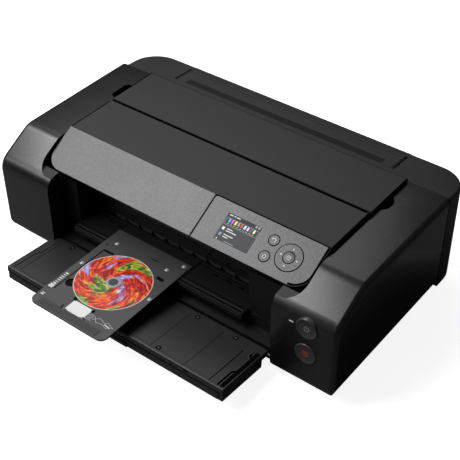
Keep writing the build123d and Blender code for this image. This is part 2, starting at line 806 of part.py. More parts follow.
# Output tray and its extension, laid out on the tray's own slope
tilt = radians(tray_tilt)
tray_plane = Plane(
    origin=(0, at(tray_hinge_y), tray_hinge_z), x_dir=(1, 0, 0), z_dir=(0, sin(tilt), cos(tilt))
)
tray_top = 5.5
tray_low = tray_top - tray_thick
ext_thick = 13.0
groove_low = tray_low - ext_thick / 2 - 1.0
tray_lines = (-195, -128, -62, 4, 70, 132)


def tray_box(x0, x1, y0, y1, low, high, mode=Mode.ADD):
    """Block on the output tray's slope, from its hinge line."""
    with BuildSketch(tray_plane.offset(low)) as outline:
        with Locations(((x0 + x1) / 2, (y0 + y1) / 2)):
            Rectangle(abs(x1 - x0), y1 - y0)
    extrude(outline.sketch, amount=high - low, mode=mode)


front_left = tray_shift - tray_half
front_right = tray_shift + tray_half
with BuildPart() as output_tray:
    tray_box(front_left, front_right, -tray_length, -10, tray_low, tray_top)
    tray_box(-tray_half, front_right, -11, 0, tray_low, tray_top)
    fillet(output_tray.edges().filter_by(Axis.X).sort_by(Axis.Y)[0:2], radius=1.5)
    tray_box(front_left + wall, front_right - wall, -tray_length + wall, -10 - wall, tray_low - 1,
             tray_top - wall, Mode.SUBTRACT)
    tray_box(-tray_half + wall, front_right - wall, -11 - wall, 1, tray_low - 1, tray_top - wall,
             Mode.SUBTRACT)
    rod(-tray_half, front_right, tray_hinge_y, tray_hinge_z, tray_top)
    for x in range(-180, 181, 45):
        tray_box(x - 1, x + 1, -tray_length + 1, -1, tray_low + 1.5, tray_top - 1)
    rail_end = -tray_length + 1.5
    for side, end, pin in ((-1, front_left, -tray_half), (1, front_right, front_right)):
        tray_box(end - side * 7, end, rail_end, -11, tray_low - ext_thick, tray_top - 1)
        tray_box(end - side * 8, end - side * 4.7, rail_end - 1, -8, groove_low, groove_low + 2.6,
                 Mode.SUBTRACT)
        rod(pin, side * (block_inner + wall - 0.4), tray_hinge_y, tray_hinge_z, hinge_pin_r + 1)
    for x in tray_lines:
        tray_box(x - 0.5, x + 0.5, -tray_length + 7, -9, tray_top - 0.6, tray_top + 1, Mode.SUBTRACT)
    tray_box(front_left + 21, front_right - 28, -tray_length + 5, -tray_length + 6,
             tray_top - 0.6, tray_top + 1, Mode.SUBTRACT)
    tray_box(front_right - 27, front_right - 3, -tray_length + 3, -22, tray_top - 1.2, tray_top + 1,
             Mode.SUBTRACT)
write(output_tray, "output_tray")

ext_left = front_left + 7.5
ext_right = front_right - 7.5
with BuildPart() as output_extension:
    tray_box(ext_left, ext_right, -tray_length + 1, -14, tray_low - ext_thick, tray_low - 0.5)
    tray_box(ext_left + 3, ext_right - 3, -tray_length + 4, -17, tray_low - ext_thick - 1,
             tray_low - 3.5, Mode.SUBTRACT)
    for x in (ext_left, ext_right):
        tray_box(x - 2, x + 2, -95, -16, groove_low + 0.1, groove_low + 2.5)
    tray_box(-30, 30, -tray_length - 1, -tray_length + 3, tray_low - ext_thick, tray_low - 7)
write(output_extension, "output_extension")

# Disc tray, its guide and the disc
guide_low = guide_top - wall
cheek = 2.0
with BuildPart() as tray_guide:
    box(guide_left, guide_right, guide_front, guide_rear, guide_low, guide_top)
    box(guide_left, guide_right, guide_front, guide_front + wall, guide_top - guide_thick, guide_top)
    for z in (guide_top - 3.6, guide_top - 7.2):
        box(guide_left - 1, guide_right + 1, guide_front - 1, guide_front + 1.2, z - 0.7, z + 0.7,
            Mode.SUBTRACT)
    for x in (guide_left + 1.5, -90, 0, 90, guide_right - 1.5):
        box(x - 1.5, x + 1.5, guide_front, guide_rear, guide_top - guide_thick, guide_top)
    rod(guide_left - seam - cheek, guide_right + seam + cheek, 74, guide_top - 8, 2.5)
    for x in (disc_tray_x - disc_tray_wide / 2 - 2.5, disc_tray_x + disc_tray_wide / 2 + 0.5):
        box(x, x + 2, guide_front + 12, guide_rear - 6, guide_top - 1, guide_top + 1.4)
write(tray_guide, "tray_guide")

tray_left = disc_tray_x - disc_tray_wide / 2
tray_right = disc_tray_x + disc_tray_wide / 2
tray_nose = -tray_reach
tray_tail = tray_nose + disc_tray_length
disc_tray_top = guide_top + disc_tray_thick
disc_x = disc_tray_x + 2.0
seat = 0.9
plate_left = disc_x - 19.0
plate_right = disc_x + 17.0
plate_low = tray_nose + 17.0
plate_high = disc_y - disc_r - 2.0
plate_place = (plate_left, plate_right, plate_low, plate_high)
with BuildPart() as disc_tray:
    box(tray_left, tray_right, tray_nose, tray_tail, guide_top, disc_tray_top)
    fillet(disc_tray.edges().filter_by(Axis.Z).group_by(Axis.Y)[0], radius=12)
    post(disc_x, disc_y, disc_tray_top - seat, disc_tray_top + 5, disc_r + 0.5, Mode.SUBTRACT)
    post(disc_x, disc_y, guide_top, disc_tray_top + 0.6, disc_hole_r - running)
    post(disc_x - 50, disc_y - 38, guide_top - 1, disc_tray_top + 1, 9, Mode.SUBTRACT)
    box(-106, -90, 3.8, 6.2, guide_top - 1, disc_tray_top + 1, Mode.SUBTRACT)
    box(0, 13, 5, 8, guide_top - 1, disc_tray_top + 1, Mode.SUBTRACT)
    box(-107.6, -106.6, -104, 3, disc_tray_top - 1.2, disc_tray_top + 1, Mode.SUBTRACT)
    for y in range(int(tray_nose) + 4, int(tray_nose) + 18, 3):
        box(tray_left + 14, tray_right - 14, y - 0.5, y + 0.5, disc_tray_top - 0.5, disc_tray_top + 1,
            Mode.SUBTRACT)
    box(*plate_place, disc_tray_top - 1.2, disc_tray_top + 1, Mode.SUBTRACT)
    for x, y in ((plate_left, plate_low), (plate_left, plate_high), (plate_right, plate_low)):
        box(x - 2.5, x + 2.5, y - 1.2, y + 1.2, guide_top - 1, disc_tray_top + 1, Mode.SUBTRACT)
write(disc_tray, "disc_tray")

with BuildPart() as disc:
    post(disc_x, disc_y, disc_tray_top - seat, disc_tray_top - seat + disc_thick, disc_r)
    post(disc_x, disc_y, 0, 100, disc_hole_r, Mode.SUBTRACT)
write(disc, "disc")

with BuildPart() as mark_plate:
    box(plate_left + 0.3, plate_right - 0.3, plate_low + 0.3, plate_high - 0.3,
        disc_tray_top - 1.2, disc_tray_top)
    for x, y in ((plate_left, plate_low), (plate_left, plate_high), (plate_right, plate_low)):
        box(x - 2.8, x + 2.8, y - 1.5, y + 1.5, guide_top - 1, disc_tray_top + 1, Mode.SUBTRACT)
write(mark_plate, "mark_plate")

# Frames beside the mouth
cheek_left = guide_left - seam
cheek_right = guide_right + seam
eject_y = feed_y - sqrt(
    (gear_module * (feed_teeth + idler_teeth)) ** 2 - (eject_z - feed_z) ** 2
)
idler_y = (feed_y + eject_y) / 2
idler_z = (feed_z + eject_z) / 2
star_r = 4.0
star_z = guide_top + 4.0 + star_r
panel_top = pocket_floor
for name, inner, outer in (
    ("inner_frame_left", cheek_left, -block_inner),
    ("inner_frame_right", cheek_right, block_inner),
):
    side = -1 if inner < 0 else 1
    with BuildPart() as inner_frame:
        box(inner, outer, panel_y, panel_y + wall, floor_z, panel_top)
        box(inner, inner + side * cheek, panel_y, 88, floor_z, 125)
        box(inner, inner + side * cheek, 87, 100, floor_z, 84)
        box(inner, inner + side * 12, panel_y + wall, 100, floor_z, floor_z + 2)
        for z in (60, 118):
            box(inner + side * 6, outer - side * 5, panel_y - 0.8, panel_y + 1, z, z + 1.5)
        rod(inner - 5, inner + 5, 74, guide_top - 8, 2.5, Mode.SUBTRACT)
        rod(inner - 5, inner + 5, eject_y, eject_z, shaft_r + running, Mode.SUBTRACT)
        rod(inner - 5, inner + 5, eject_y, star_z, 1.0 + running, Mode.SUBTRACT)
    write(inner_frame, name)

with BuildPart() as exit_cover:
    box(cheek_left, cheek_right, exit_bar_y - 2, exit_bar_y, 71, 125)
    box(cheek_left, cheek_right, exit_bar_y - 2, 99, 79.5, 82)
    box(cheek_left, cheek_right, 97.5, 99, 76, 82)
    box(cheek_left, cheek_right, exit_bar_y - 2, exit_bar_y + 4, 122.5, 125)
write(exit_cover, "exit_cover")

wheel_xs = [cheek_left + 16 + 27.5 * k for k in range(12)]
with BuildPart() as star_wheels:
    rod(cheek_left - cheek, cheek_right + cheek, eject_y, star_z, 1.0)
    for x in wheel_xs:
        rod(x - 0.5, x + 0.5, eject_y, star_z, star_r)
        with Locations(Location((x, at(eject_y), star_z), (0, 90, 0))):
            with PolarLocations(star_r, 12):
                Box(1.2, 0.7, 2, mode=Mode.SUBTRACT)
write(star_wheels, "star_wheels")

# Rollers, platen and gears
shaft_end = gear_x - gear_wide / 2 - 1.5
with BuildPart() as eject_roller:
    rod(shaft_end, cheek_right + cheek, eject_y, eject_z, shaft_r)
    for x in wheel_xs:
        rod(x - 9, x + 9, eject_y, eject_z, roller_r)
write(eject_roller, "eject_roller")

with BuildPart() as feed_roller:
    rod(shaft_end, cheek_right - running, feed_y, feed_z, shaft_r)
    rod(cheek_left + 5, cheek_right - 5, feed_y, feed_z, feed_roller_r)
write(feed_roller, "feed_roller")

with BuildPart() as platen:
    box(cheek_left, cheek_right, 101, 172, 57, 62)
    for k in range(23):
        x = cheek_left + 6 + 14.6 * k
        box(x - 1, x + 1, 101, 172, 61, guide_top - 0.3)
    for near in (cheek_left, cheek_right - 3):
        box(near, near + 3, 101, 192, floor_z, 64)
        rod(near - 1, near + 4, feed_y, feed_z, shaft_r + running, Mode.SUBTRACT)
write(platen, "platen")

pinch_r = 4.0
pinch_z = guide_top + 4.1 + pinch_r
arm_xs = [cheek_left + 12 + 51.5 * k for k in range(7)]
with BuildPart() as pinch_rollers:
    rod(arm_xs[0] - 3, arm_xs[-1] + 3, feed_y, pinch_z, 1.2)
    for x in arm_xs[:-1]:
        rod(x + 6, x + 45, feed_y, pinch_z, pinch_r)
write(pinch_rollers, "pinch_rollers")

pressure = radians(20)


def gear_outline(teeth, turn):
    """Points of a spur gear with involute flanks, a tooth centred on the given turn."""
    pitch = gear_module * teeth / 2
    base = pitch * cos(pressure)
    inv_pitch = tan(pressure) - pressure
    half_tooth = (pi * gear_module / 2 - backlash / 2) / (2 * pitch)
    heights = (-1.1, -0.6, -0.1, 0.35, 0.8)
    flank = []
    for height in heights:
        radius = pitch + height * gear_module
        angle = acos(min(1.0, base / radius))
        flank.append((radius, half_tooth + inv_pitch - (tan(angle) - angle)))
    points = []
    for tooth in range(teeth):
        middle = turn + 2 * pi * tooth / teeth
        for radius, angle in flank:
            points.append((radius * cos(middle - angle), radius * sin(middle - angle)))
        for radius, angle in reversed(flank):
            points.append((radius * cos(middle + angle), radius * sin(middle + angle)))
    return points


def meshed_turn(towards, turn, teeth, next_teeth):
    """Turn of the next gear so that its gaps meet the teeth of the one before."""
    phase = (towards - turn) * teeth / (2 * pi)
    return towards + pi - (0.5 - phase) * 2 * pi / next_teeth


def gear(teeth, turn, y, z, bore):
    """Spur gear on an axle along X."""
    with BuildPart() as wheel:
        with BuildSketch(Plane.YZ.offset(gear_x - gear_wide / 2)) as face:
            with Locations((at(y), z)):
                with BuildLine(mode=Mode.PRIVATE) as outline:
                    Polyline(*gear_outline(teeth, turn), close=True)
                add(make_face(outline.wire(), mode=Mode.PRIVATE))
        extrude(face.sketch, amount=gear_wide)
        if teeth > 20:
            rod(gear_x - 4, gear_x - gear_wide / 2 + 1.5, y, z, gear_module * teeth / 2 - 4, Mode.SUBTRACT)
            rod(gear_x - gear_wide / 2, gear_x, y, z, 6.0)
        rod(gear_x - 10, gear_x + 10, y, z, bore, Mode.SUBTRACT)
    return wheel


motor_side = radians(240)
motor_reach = gear_module * (feed_teeth + pinion_teeth) / 2
motor_y = feed_y + motor_reach * cos(motor_side)
motor_z = feed_z + motor_reach * sin(motor_side)
along = atan2(eject_z - feed_z, eject_y - feed_y)
idler_turn = meshed_turn(along, 0.0, feed_teeth, idler_teeth)
eject_turn = meshed_turn(along, idler_turn, idler_teeth, feed_teeth)
pinion_turn = meshed_turn(motor_side, 0.0, feed_teeth, pinion_teeth)
feed_gear = gear(feed_teeth, 0.0, feed_y, feed_z, shaft_r)
write(feed_gear, "feed_gear")
idler_gear = gear(idler_teeth, idler_turn, idler_y, idler_z, shaft_r + running)
write(idler_gear, "idler_gear")
eject_gear = gear(feed_teeth, eject_turn, eject_y, eject_z, shaft_r)
write(eject_gear, "eject_gear")
pinion = gear(pinion_teeth, pinion_turn, motor_y, motor_z, 1.0)
with BuildPart() as motor_pinion:
    add(pinion.part)
    rod(gear_x - gear_wide / 2, -chassis_half + 14, motor_y, motor_z, 1.5)
write(motor_pinion, "motor_pinion")

# Chassis of bent sheet, with the brackets that hold the pinch rollers
chassis_in = chassis_half - sheet
plate_y = 194.0
with BuildPart() as chassis:
    box(-chassis_half, chassis_half, plate_y, plate_y + sheet, floor_z, 150)
    box(-chassis_half, chassis_half, plate_y, plate_y + 13, floor_z, floor_z + sheet)
    for side in (-1, 1):
        box(side * chassis_in, side * chassis_half, 76, plate_y + sheet, floor_z, 140)
        box(side * chassis_in, side * chassis_half, 150, plate_y + sheet, 139, frame_low)
        box(side * chassis_in, side * (chassis_half + 14), 76, plate_y + sheet, floor_z, floor_z + sheet)
    box(cheek_left, cheek_right, plate_y - 2, plate_y + 3, 56, 84, Mode.SUBTRACT)
    for x in arm_xs:
        strip(x - 1.2, x + 1.2, [
            (plate_y + 1, 87), (feed_y - 1, 84), (feed_y - 2.4, pinch_z - 2.2),
            (feed_y + 2.4, pinch_z - 2.2), (plate_y - 8, 79), (plate_y + 1, 84),
        ])
        rod(x - 2, x + 2, feed_y, pinch_z, 1.2 + running, Mode.SUBTRACT)
    rod(-chassis_half - 1, chassis_half + 1, rail_y, rail_z, rail_r, Mode.SUBTRACT)
    for y, z in ((feed_y, feed_z), (eject_y, eject_z)):
        rod(-chassis_half - 1, -chassis_in + 1, y, z, shaft_r + running, Mode.SUBTRACT)
    rod(gear_x - gear_wide / 2 - 1, -chassis_in, idler_y, idler_z, shaft_r)
    rod(-chassis_half - 1, -chassis_in + 1, motor_y, motor_z, 3.0, Mode.SUBTRACT)
    stub(-pulley_x, belt_z, plate_y - 1, plate_y + 3, 3.0, Mode.SUBTRACT)
    stub(pulley_x, belt_z, plate_y - 10.5, plate_y + 1, 2.0)
write(chassis, "chassis")

with BuildPart() as feed_motor:
    rod(-chassis_in, -chassis_in + 26, motor_y, motor_z, 12.0)
    rod(-chassis_in - 1, -chassis_in + 14, motor_y, motor_z, 1.5 + running, Mode.SUBTRACT)
write(feed_motor, "feed_motor")

with BuildPart() as carriage_rail:
    rod(-chassis_half, chassis_half, rail_y, rail_z, rail_r)
write(carriage_rail, "carriage_rail")

# Carriage with its ink tanks, belt and pulleys
car_half = carriage_wide / 2
car_left = carriage_home - car_half
car_right = carriage_home + car_half
belt_in = plate_y - 10.0
belt_out = plate_y - 5.0
belt_low = belt_z - pulley_r - belt_thick
bearing_top = 107.5
with BuildPart() as carriage:
    box(car_left, car_right, 104, 166, 72, 108)
    box(car_left + 2.5, car_right - 2.5, 106.5, 163.5, 74.5, 109, Mode.SUBTRACT)
    box(car_left + 22, car_right - 22, 118, 152, 70.4, 73)
    for near in (car_left, car_right - 18):
        box(near, near + 18, 165, rail_y + 8, 88, bearing_top)
    box(carriage_home - 14, carriage_home + 14, 165, rail_y + 6, bearing_top - 4, bearing_top)
    box(carriage_home - 12, carriage_home + 12, rail_y + 4, belt_out + 1.5, bearing_top - 4, belt_low + 4)
    box(carriage_home - 13, carriage_home + 13, belt_in - 0.2, belt_out + 2, belt_low,
        belt_low + belt_thick, Mode.SUBTRACT)
    rod(car_left - 1, car_right + 1, rail_y, rail_z, rail_r + running, Mode.SUBTRACT)
write(carriage, "carriage")

tank_pitch = 19.6
with BuildPart() as ink_tanks:
    for column in range(5):
        x = carriage_home + (column - 2) * tank_pitch
        for y in (121.0, 149.0):
            box(x - 9.3, x + 9.3, y - 13.6, y + 13.6, 74.5, 118)
            box(x - 4, x + 4, y - 12, y - 4, 117, 124)
write(ink_tanks, "ink_tanks")

with BuildPart() as carriage_belt:
    with BuildSketch(Plane.XZ.offset(-at(belt_in))):
        with Locations((0, belt_z)):
            SlotCenterToCenter(2 * pulley_x, 2 * (pulley_r + belt_thick))
            SlotCenterToCenter(2 * pulley_x, 2 * pulley_r, mode=Mode.SUBTRACT)
    extrude(amount=-(belt_out - belt_in))
write(carriage_belt, "carriage_belt")

for name, x in (("drive_pulley", -pulley_x), ("idler_pulley", pulley_x)):
    with BuildPart() as pulley:
        stub(x, belt_z, belt_in, belt_out, pulley_r)
        stub(x, belt_z, belt_in - 0.8, belt_in, pulley_r + 2.2)
        stub(x, belt_z, belt_out, belt_out + 0.8, pulley_r + 2.2)
        if x < 0:
            stub(x, belt_z, belt_out, plate_y + 12, 1.5)
        else:
            stub(x, belt_z, belt_in - 2, belt_out + 2, 2.0 + running, Mode.SUBTRACT)
        for k in range(6):
            angle = k * pi / 3
            spot = (x + 4.6 * cos(angle), belt_z + 4.6 * sin(angle))
            stub(*spot, belt_in - 1, belt_in + 2, 0.8, Mode.SUBTRACT)
    write(pulley, name)

with BuildPart() as carriage_motor:
    stub(-pulley_x, belt_z, plate_y + sheet, plate_y + 28, 13.0)
    stub(-pulley_x, belt_z, plate_y, plate_y + 14, 1.5 + running, Mode.SUBTRACT)
write(carriage_motor, "carriage_motor")

with BuildPart() as capping_station:
    box(cheek_right + 4, chassis_in - 1.5, 104, 174, floor_z, 60)
    box(cheek_right + 8, chassis_in - 6, 108, 170, 59, 66)
    box(cheek_right + 12, chassis_in - 10, 112, 166, 62, 67, Mode.SUBTRACT)
    box(car_left + 24, car_right - 24, 120, 150, 61, 69.5)
    box(car_left + 27, car_right - 27, 123, 147, 67, 70, Mode.SUBTRACT)
write(capping_station, "capping_station")

# Rear paper feed
bed_half = 170.0
bed_top = (280.0, 150.0)
bed_end = (202.0, 76.0)
bed_run = sqrt((bed_top[0] - bed_end[0]) ** 2 + (bed_top[1] - bed_end[1]) ** 2)
bed_dir = ((bed_end[0] - bed_top[0]) / bed_run, (bed_end[1] - bed_top[1]) / bed_run)
bed_plane = Plane(
    origin=(0, at(bed_top[0]), bed_top[1]),
    x_dir=(1, 0, 0),
    z_dir=(0, bed_dir[1], -bed_dir[0]),
)


def bed_box(x0, x1, run0, run1, low, high, mode=Mode.ADD):
    """Block on the paper bed: across, down from its top edge, and out from its face."""
    with BuildSketch(bed_plane.offset(low)) as outline:
        with Locations(((x0 + x1) / 2, -(run0 + run1) / 2)):
            Rectangle(abs(x1 - x0), run1 - run0)
    extrude(outline.sketch, amount=high - low, mode=mode)


with BuildPart() as rear_feed_bed:
    bed_box(-bed_half - 4, bed_half + 4, 0, bed_run, -3, 0)
    for side in (-1, 1):
        low, high = sorted((side * (bed_half + 4), side * (bed_half + 7)))
        strip(low, high, [
            (plate_y + sheet, 70), (plate_y + sheet, 108), (266, frame_low),
            (frame_rear - 1, frame_low), (frame_rear - 1, 150),
        ])
write(rear_feed_bed, "rear_feed_bed")

for name, side in (("paper_guide_left", -1), ("paper_guide_right", 1)):
    with BuildPart() as paper_guide:
        bed_box(side * (bed_half - 3), side * bed_half, 6, 76, 0, 20)
        bed_box(side * (bed_half - 16), side * (bed_half - 2), 6, 76, 0, 1.5)
    write(paper_guide, name)

# Boards and power supply at the back
with BuildPart() as main_board:
    box(40, 195, 302, 346, 22, 23.6)
    for x in (46, 189):
        for y in (306, 341):
            post(x, y, floor_z, 22, 3.0)
    box(80, 110, 312, 334, 23.6, 27)
    box(130, 142, 306, 340, 23.6, 34)
write(main_board, "main_board")

with BuildPart() as power_supply:
    box(-190, -80, 302, 343, floor_z, 58)
    for k in range(9):
        box(-182 + 11 * k, -177 + 11 * k, 308, 337, 57, 59, Mode.SUBTRACT)
write(power_supply, "power_supply")
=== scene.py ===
import json
from math import cos, radians, sin

import bmesh
import bpy
from mathutils import Matrix, Vector


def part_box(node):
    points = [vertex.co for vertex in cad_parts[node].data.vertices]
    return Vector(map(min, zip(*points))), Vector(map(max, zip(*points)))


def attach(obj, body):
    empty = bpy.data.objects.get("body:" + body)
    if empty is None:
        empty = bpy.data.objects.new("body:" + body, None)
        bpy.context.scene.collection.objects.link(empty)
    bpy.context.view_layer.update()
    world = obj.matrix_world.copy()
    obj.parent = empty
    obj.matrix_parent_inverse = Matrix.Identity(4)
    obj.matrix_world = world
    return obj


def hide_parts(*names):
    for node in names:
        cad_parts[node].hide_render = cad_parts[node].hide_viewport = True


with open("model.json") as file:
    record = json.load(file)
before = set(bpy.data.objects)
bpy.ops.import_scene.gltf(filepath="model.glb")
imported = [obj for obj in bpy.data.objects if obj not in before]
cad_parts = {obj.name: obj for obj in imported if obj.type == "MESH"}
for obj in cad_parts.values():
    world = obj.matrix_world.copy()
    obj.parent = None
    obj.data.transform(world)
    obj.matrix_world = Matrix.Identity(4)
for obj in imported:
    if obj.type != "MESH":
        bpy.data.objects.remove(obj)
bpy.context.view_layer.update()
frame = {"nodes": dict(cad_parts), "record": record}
print("frame loaded", len(frame["nodes"]), "nodes")

# Camera at the photograph's place
cameraView = {
    "place": (0.8069, -0.9767, 1.1401),
    "yaw": 38.23,
    "pitch": 39.97,
    "roll": -0.72,
    "lens": 83.32,
    "sensor": 36,
    "shift": (0.0166, 0.0086),
}


def makeCamera(v):
    a, e, r = radians(v["yaw"]), radians(v["pitch"]), radians(v["roll"])
    back = Vector((sin(a) * cos(e), -cos(a) * cos(e), sin(e)))
    right = Vector((cos(a), sin(a), 0))
    up = back.cross(right)
    across = right * cos(r) + up * sin(r)
    above = right * -sin(r) + up * cos(r)
    turn = Matrix((across, above, back)).transposed().to_4x4()
    data = bpy.data.cameras.new("camera")
    data.lens, data.sensor_width = v["lens"], v["sensor"]
    data.shift_x, data.shift_y = v["shift"]
    cam = bpy.data.objects.new("camera", data)
    bpy.context.scene.collection.objects.link(cam)
    cam.matrix_world = Matrix.Translation(Vector(v["place"])) @ turn
    bpy.context.scene.camera = cam


makeCamera(cameraView)

# Soft boxes: where they stand, what they aim at, their size and power
lights = {
    "overhead": {"place": (-0.95, -0.5, 1.72), "size": (1.5, 0.95), "power": 35},
    "bendGlow": {"place": (-1.15, -1.3, 1.35), "size": (1.1, 0.8), "power": 11},
    "topWash": {"place": (-1.0, 1.1, 1.9), "size": (1.5, 1.1), "power": 8},
    "frontFill": {"place": (-0.6, -2.2, 0.7), "size": (1.2, 0.7), "power": 0.5},
}
surround = {"seen": 0.95, "lit": 0.06, "aim": (0, 0, 0.1)}


def makeLights(boxes, v):
    for name, box in boxes.items():
        data = bpy.data.lights.new(name, "AREA")
        data.shape = "RECTANGLE"
        data.size, data.size_y = box["size"]
        data.energy = box["power"]
        lamp = bpy.data.objects.new(name, data)
        bpy.context.scene.collection.objects.link(lamp)
        lamp.location = box["place"]
        aim = Vector(v["aim"]) - Vector(box["place"])
        lamp.rotation_euler = aim.to_track_quat("-Z", "Y").to_euler()
    world = bpy.data.worlds.new("studio")
    bpy.context.scene.world = world
    world.use_nodes = True
    tree = world.node_tree
    back = tree.nodes["Background"]
    path = tree.nodes.new("ShaderNodeLightPath")
    level = tree.nodes.new("ShaderNodeMapRange")
    level.inputs["To Min"].default_value = v["lit"]
    level.inputs["To Max"].default_value = v["seen"]
    tree.links.new(path.outputs["Is Camera Ray"], level.inputs["Value"])
    tree.links.new(level.outputs["Result"], back.inputs["Strength"])
    back.inputs["Color"].default_value = (1, 1, 1, 1)
    bpy.context.scene.view_settings.view_transform = "Standard"


makeLights(lights, surround)


# Shared effects as node groups
def newGroup(name, inputs, outputs):
    group = bpy.data.node_groups.new(name, "ShaderNodeTree")
    for label, value in inputs:
        kind = "NodeSocketVector" if value is None else "NodeSocketFloat"
        socket = group.interface.new_socket(label, in_out="INPUT", socket_type=kind)
        if value is not None:
            socket.default_value = value
    for label in outputs:
        group.interface.new_socket(label, in_out="OUTPUT", socket_type="NodeSocketFloat")
    into = group.nodes.new("NodeGroupInput")
    out = group.nodes.new("NodeGroupOutput")
    return group, into, out


def mathNode(tree, kind, a, b, c=None):
    node = tree.nodes.new("ShaderNodeMath")
    node.operation = kind
    for k, value in enumerate((a, b, c)):
        if value is None:
            continue
        if isinstance(value, (int, float)):
            node.inputs[k].default_value = value
        else:
            tree.links.new(value, node.inputs[k])
    return node.outputs[0]


def makeGrain():
    group, into, out = newGroup("mouldedGrain", [("Place", None), ("Size", 900.0)], ["Height", "Shade"])
    fine = group.nodes.new("ShaderNodeTexNoise")
    fine.inputs["Detail"].default_value = 3
    broad = group.nodes.new("ShaderNodeTexNoise")
    broad.inputs["Scale"].default_value = 14
    broad.inputs["Detail"].default_value = 2
    for node in (fine, broad):
        group.links.new(into.outputs["Place"], node.inputs["Vector"])
    group.links.new(into.outputs["Size"], fine.inputs["Scale"])
    group.links.new(fine.outputs["Fac"], out.inputs["Height"])
    group.links.new(broad.outputs["Fac"], out.inputs["Shade"])
    return group


def makeFlake():
    inputs = [("Place", None), ("Size", 1500.0), ("Amount", 0.12)]
    group, into, out = newGroup("paintFlake", inputs, ["Glint"])
    cells = group.nodes.new("ShaderNodeTexVoronoi")
    group.links.new(into.outputs["Place"], cells.inputs["Vector"])
    group.links.new(into.outputs["Size"], cells.inputs["Scale"])
    split = group.nodes.new("ShaderNodeSeparateColor")
    group.links.new(cells.outputs["Color"], split.inputs["Color"])
    limit = mathNode(group, "SUBTRACT", 1.0, into.outputs["Amount"])
    bright = mathNode(group, "GREATER_THAN", split.outputs["Red"], limit)
    shade = mathNode(group, "MULTIPLY", bright, split.outputs["Green"])
    group.links.new(shade, out.inputs["Glint"])
    return group


grain = makeGrain()
flake = makeFlake()


def newMaterial(name):
    mat = bpy.data.materials.new(name)
    mat.use_nodes = True
    return mat, mat.node_tree, mat.node_tree.nodes["Principled BSDF"]


def placeOf(tree):
    return tree.nodes.new("ShaderNodeTexCoord").outputs["Object"]


# Plastics and metals: colour, roughness, grain size and depth, and for some a gloss or a flake share
finishes = {
    "topPlastic": {"color": (0.018, 0.018, 0.018), "rough": 0.5, "size": 1100, "depth": 0.12},
    "slopePaint": {"color": (0.047, 0.047, 0.047), "rough": 0.38, "size": 1000, "depth": 0.16,
                   "flake": 0.45},
    "bodyPlastic": {"color": (0.006, 0.006, 0.006), "rough": 0.27, "size": 2000, "depth": 0.08,
                    "gloss": 0.66},
    "trayPlastic": {"color": (0.018, 0.018, 0.0185), "rough": 0.42, "size": 900, "depth": 0.15},
    "discTrayPlastic": {"color": (0.048, 0.048, 0.049), "rough": 0.42, "size": 900, "depth": 0.1},
    # Inner plastic: dark plastic, its colour lowered further as painted shade for the printer's shaded inside
    "innerPlastic": {"color": (0.005, 0.005, 0.0055), "rough": 0.55, "size": 700, "depth": 0.15,
                     "gloss": 0.28},
    # Near-black finish for the gap walls beside the lid: painted shade, not a plastic of its own
    "gapPaintedShade": {"color": (0.002, 0.002, 0.002), "rough": 0.9, "size": 700, "depth": 0.1},
    # The tray guide's plastic is the tray's plastic made darker: painted shade for the guide's place in the
    # shaded mouth
    "guidePlasticPaintedShade": {"color": (0.004, 0.004, 0.004), "rough": 0.5, "size": 900, "depth": 0.15,
                     "gloss": 0.26},
    "glossBlack": {"color": (0.006, 0.006, 0.0065), "rough": 0.22, "size": 300, "depth": 0.01},
    "screenGlass": {"color": (0.008, 0.008, 0.01), "rough": 0.06, "size": 300, "depth": 0.0},
    "ringPlastic": {"color": (0.056, 0.056, 0.056), "rough": 0.4, "size": 1000, "depth": 0.1, "flake": 0.35},
    "buttonPlastic": {"color": (0.045, 0.045, 0.046), "rough": 0.3, "size": 900, "depth": 0.05,
                      "flake": 0.04},
    "gripPlastic": {"color": (0.07, 0.07, 0.071), "rough": 0.5, "size": 900, "depth": 0.1},
    "paleInsert": {"color": (0.74, 0.74, 0.74), "rough": 0.35, "size": 900, "depth": 0.05},
    "rubberFoot": {"color": (0.02, 0.02, 0.02), "rough": 0.8, "size": 500, "depth": 0.3},
    "whiteAcetal": {"color": (0.7, 0.7, 0.66), "rough": 0.35, "size": 500, "depth": 0.05},
    "boardGreen": {"color": (0.02, 0.11, 0.05), "rough": 0.4, "size": 200, "depth": 0.2, "flake": 0.02},
    "lightGuide": {"color": (0.9, 0.92, 0.95), "rough": 0.2, "size": 500, "depth": 0.0},
}
metals = {
    "zincSheet": {"color": (0.45, 0.46, 0.47), "rough": 0.35, "size": 400, "depth": 0.05},
    "groundSteel": {"color": (0.6, 0.6, 0.6), "rough": 0.18, "size": 900, "depth": 0.03},
}
# How far each finish strays from its colour and roughness, and the height of its bumps in metres
finishSpread = {"dark": 0.86, "light": 1.14, "glint": 2.1, "roughBy": 0.05, "bump": 0.0004}
made = {}


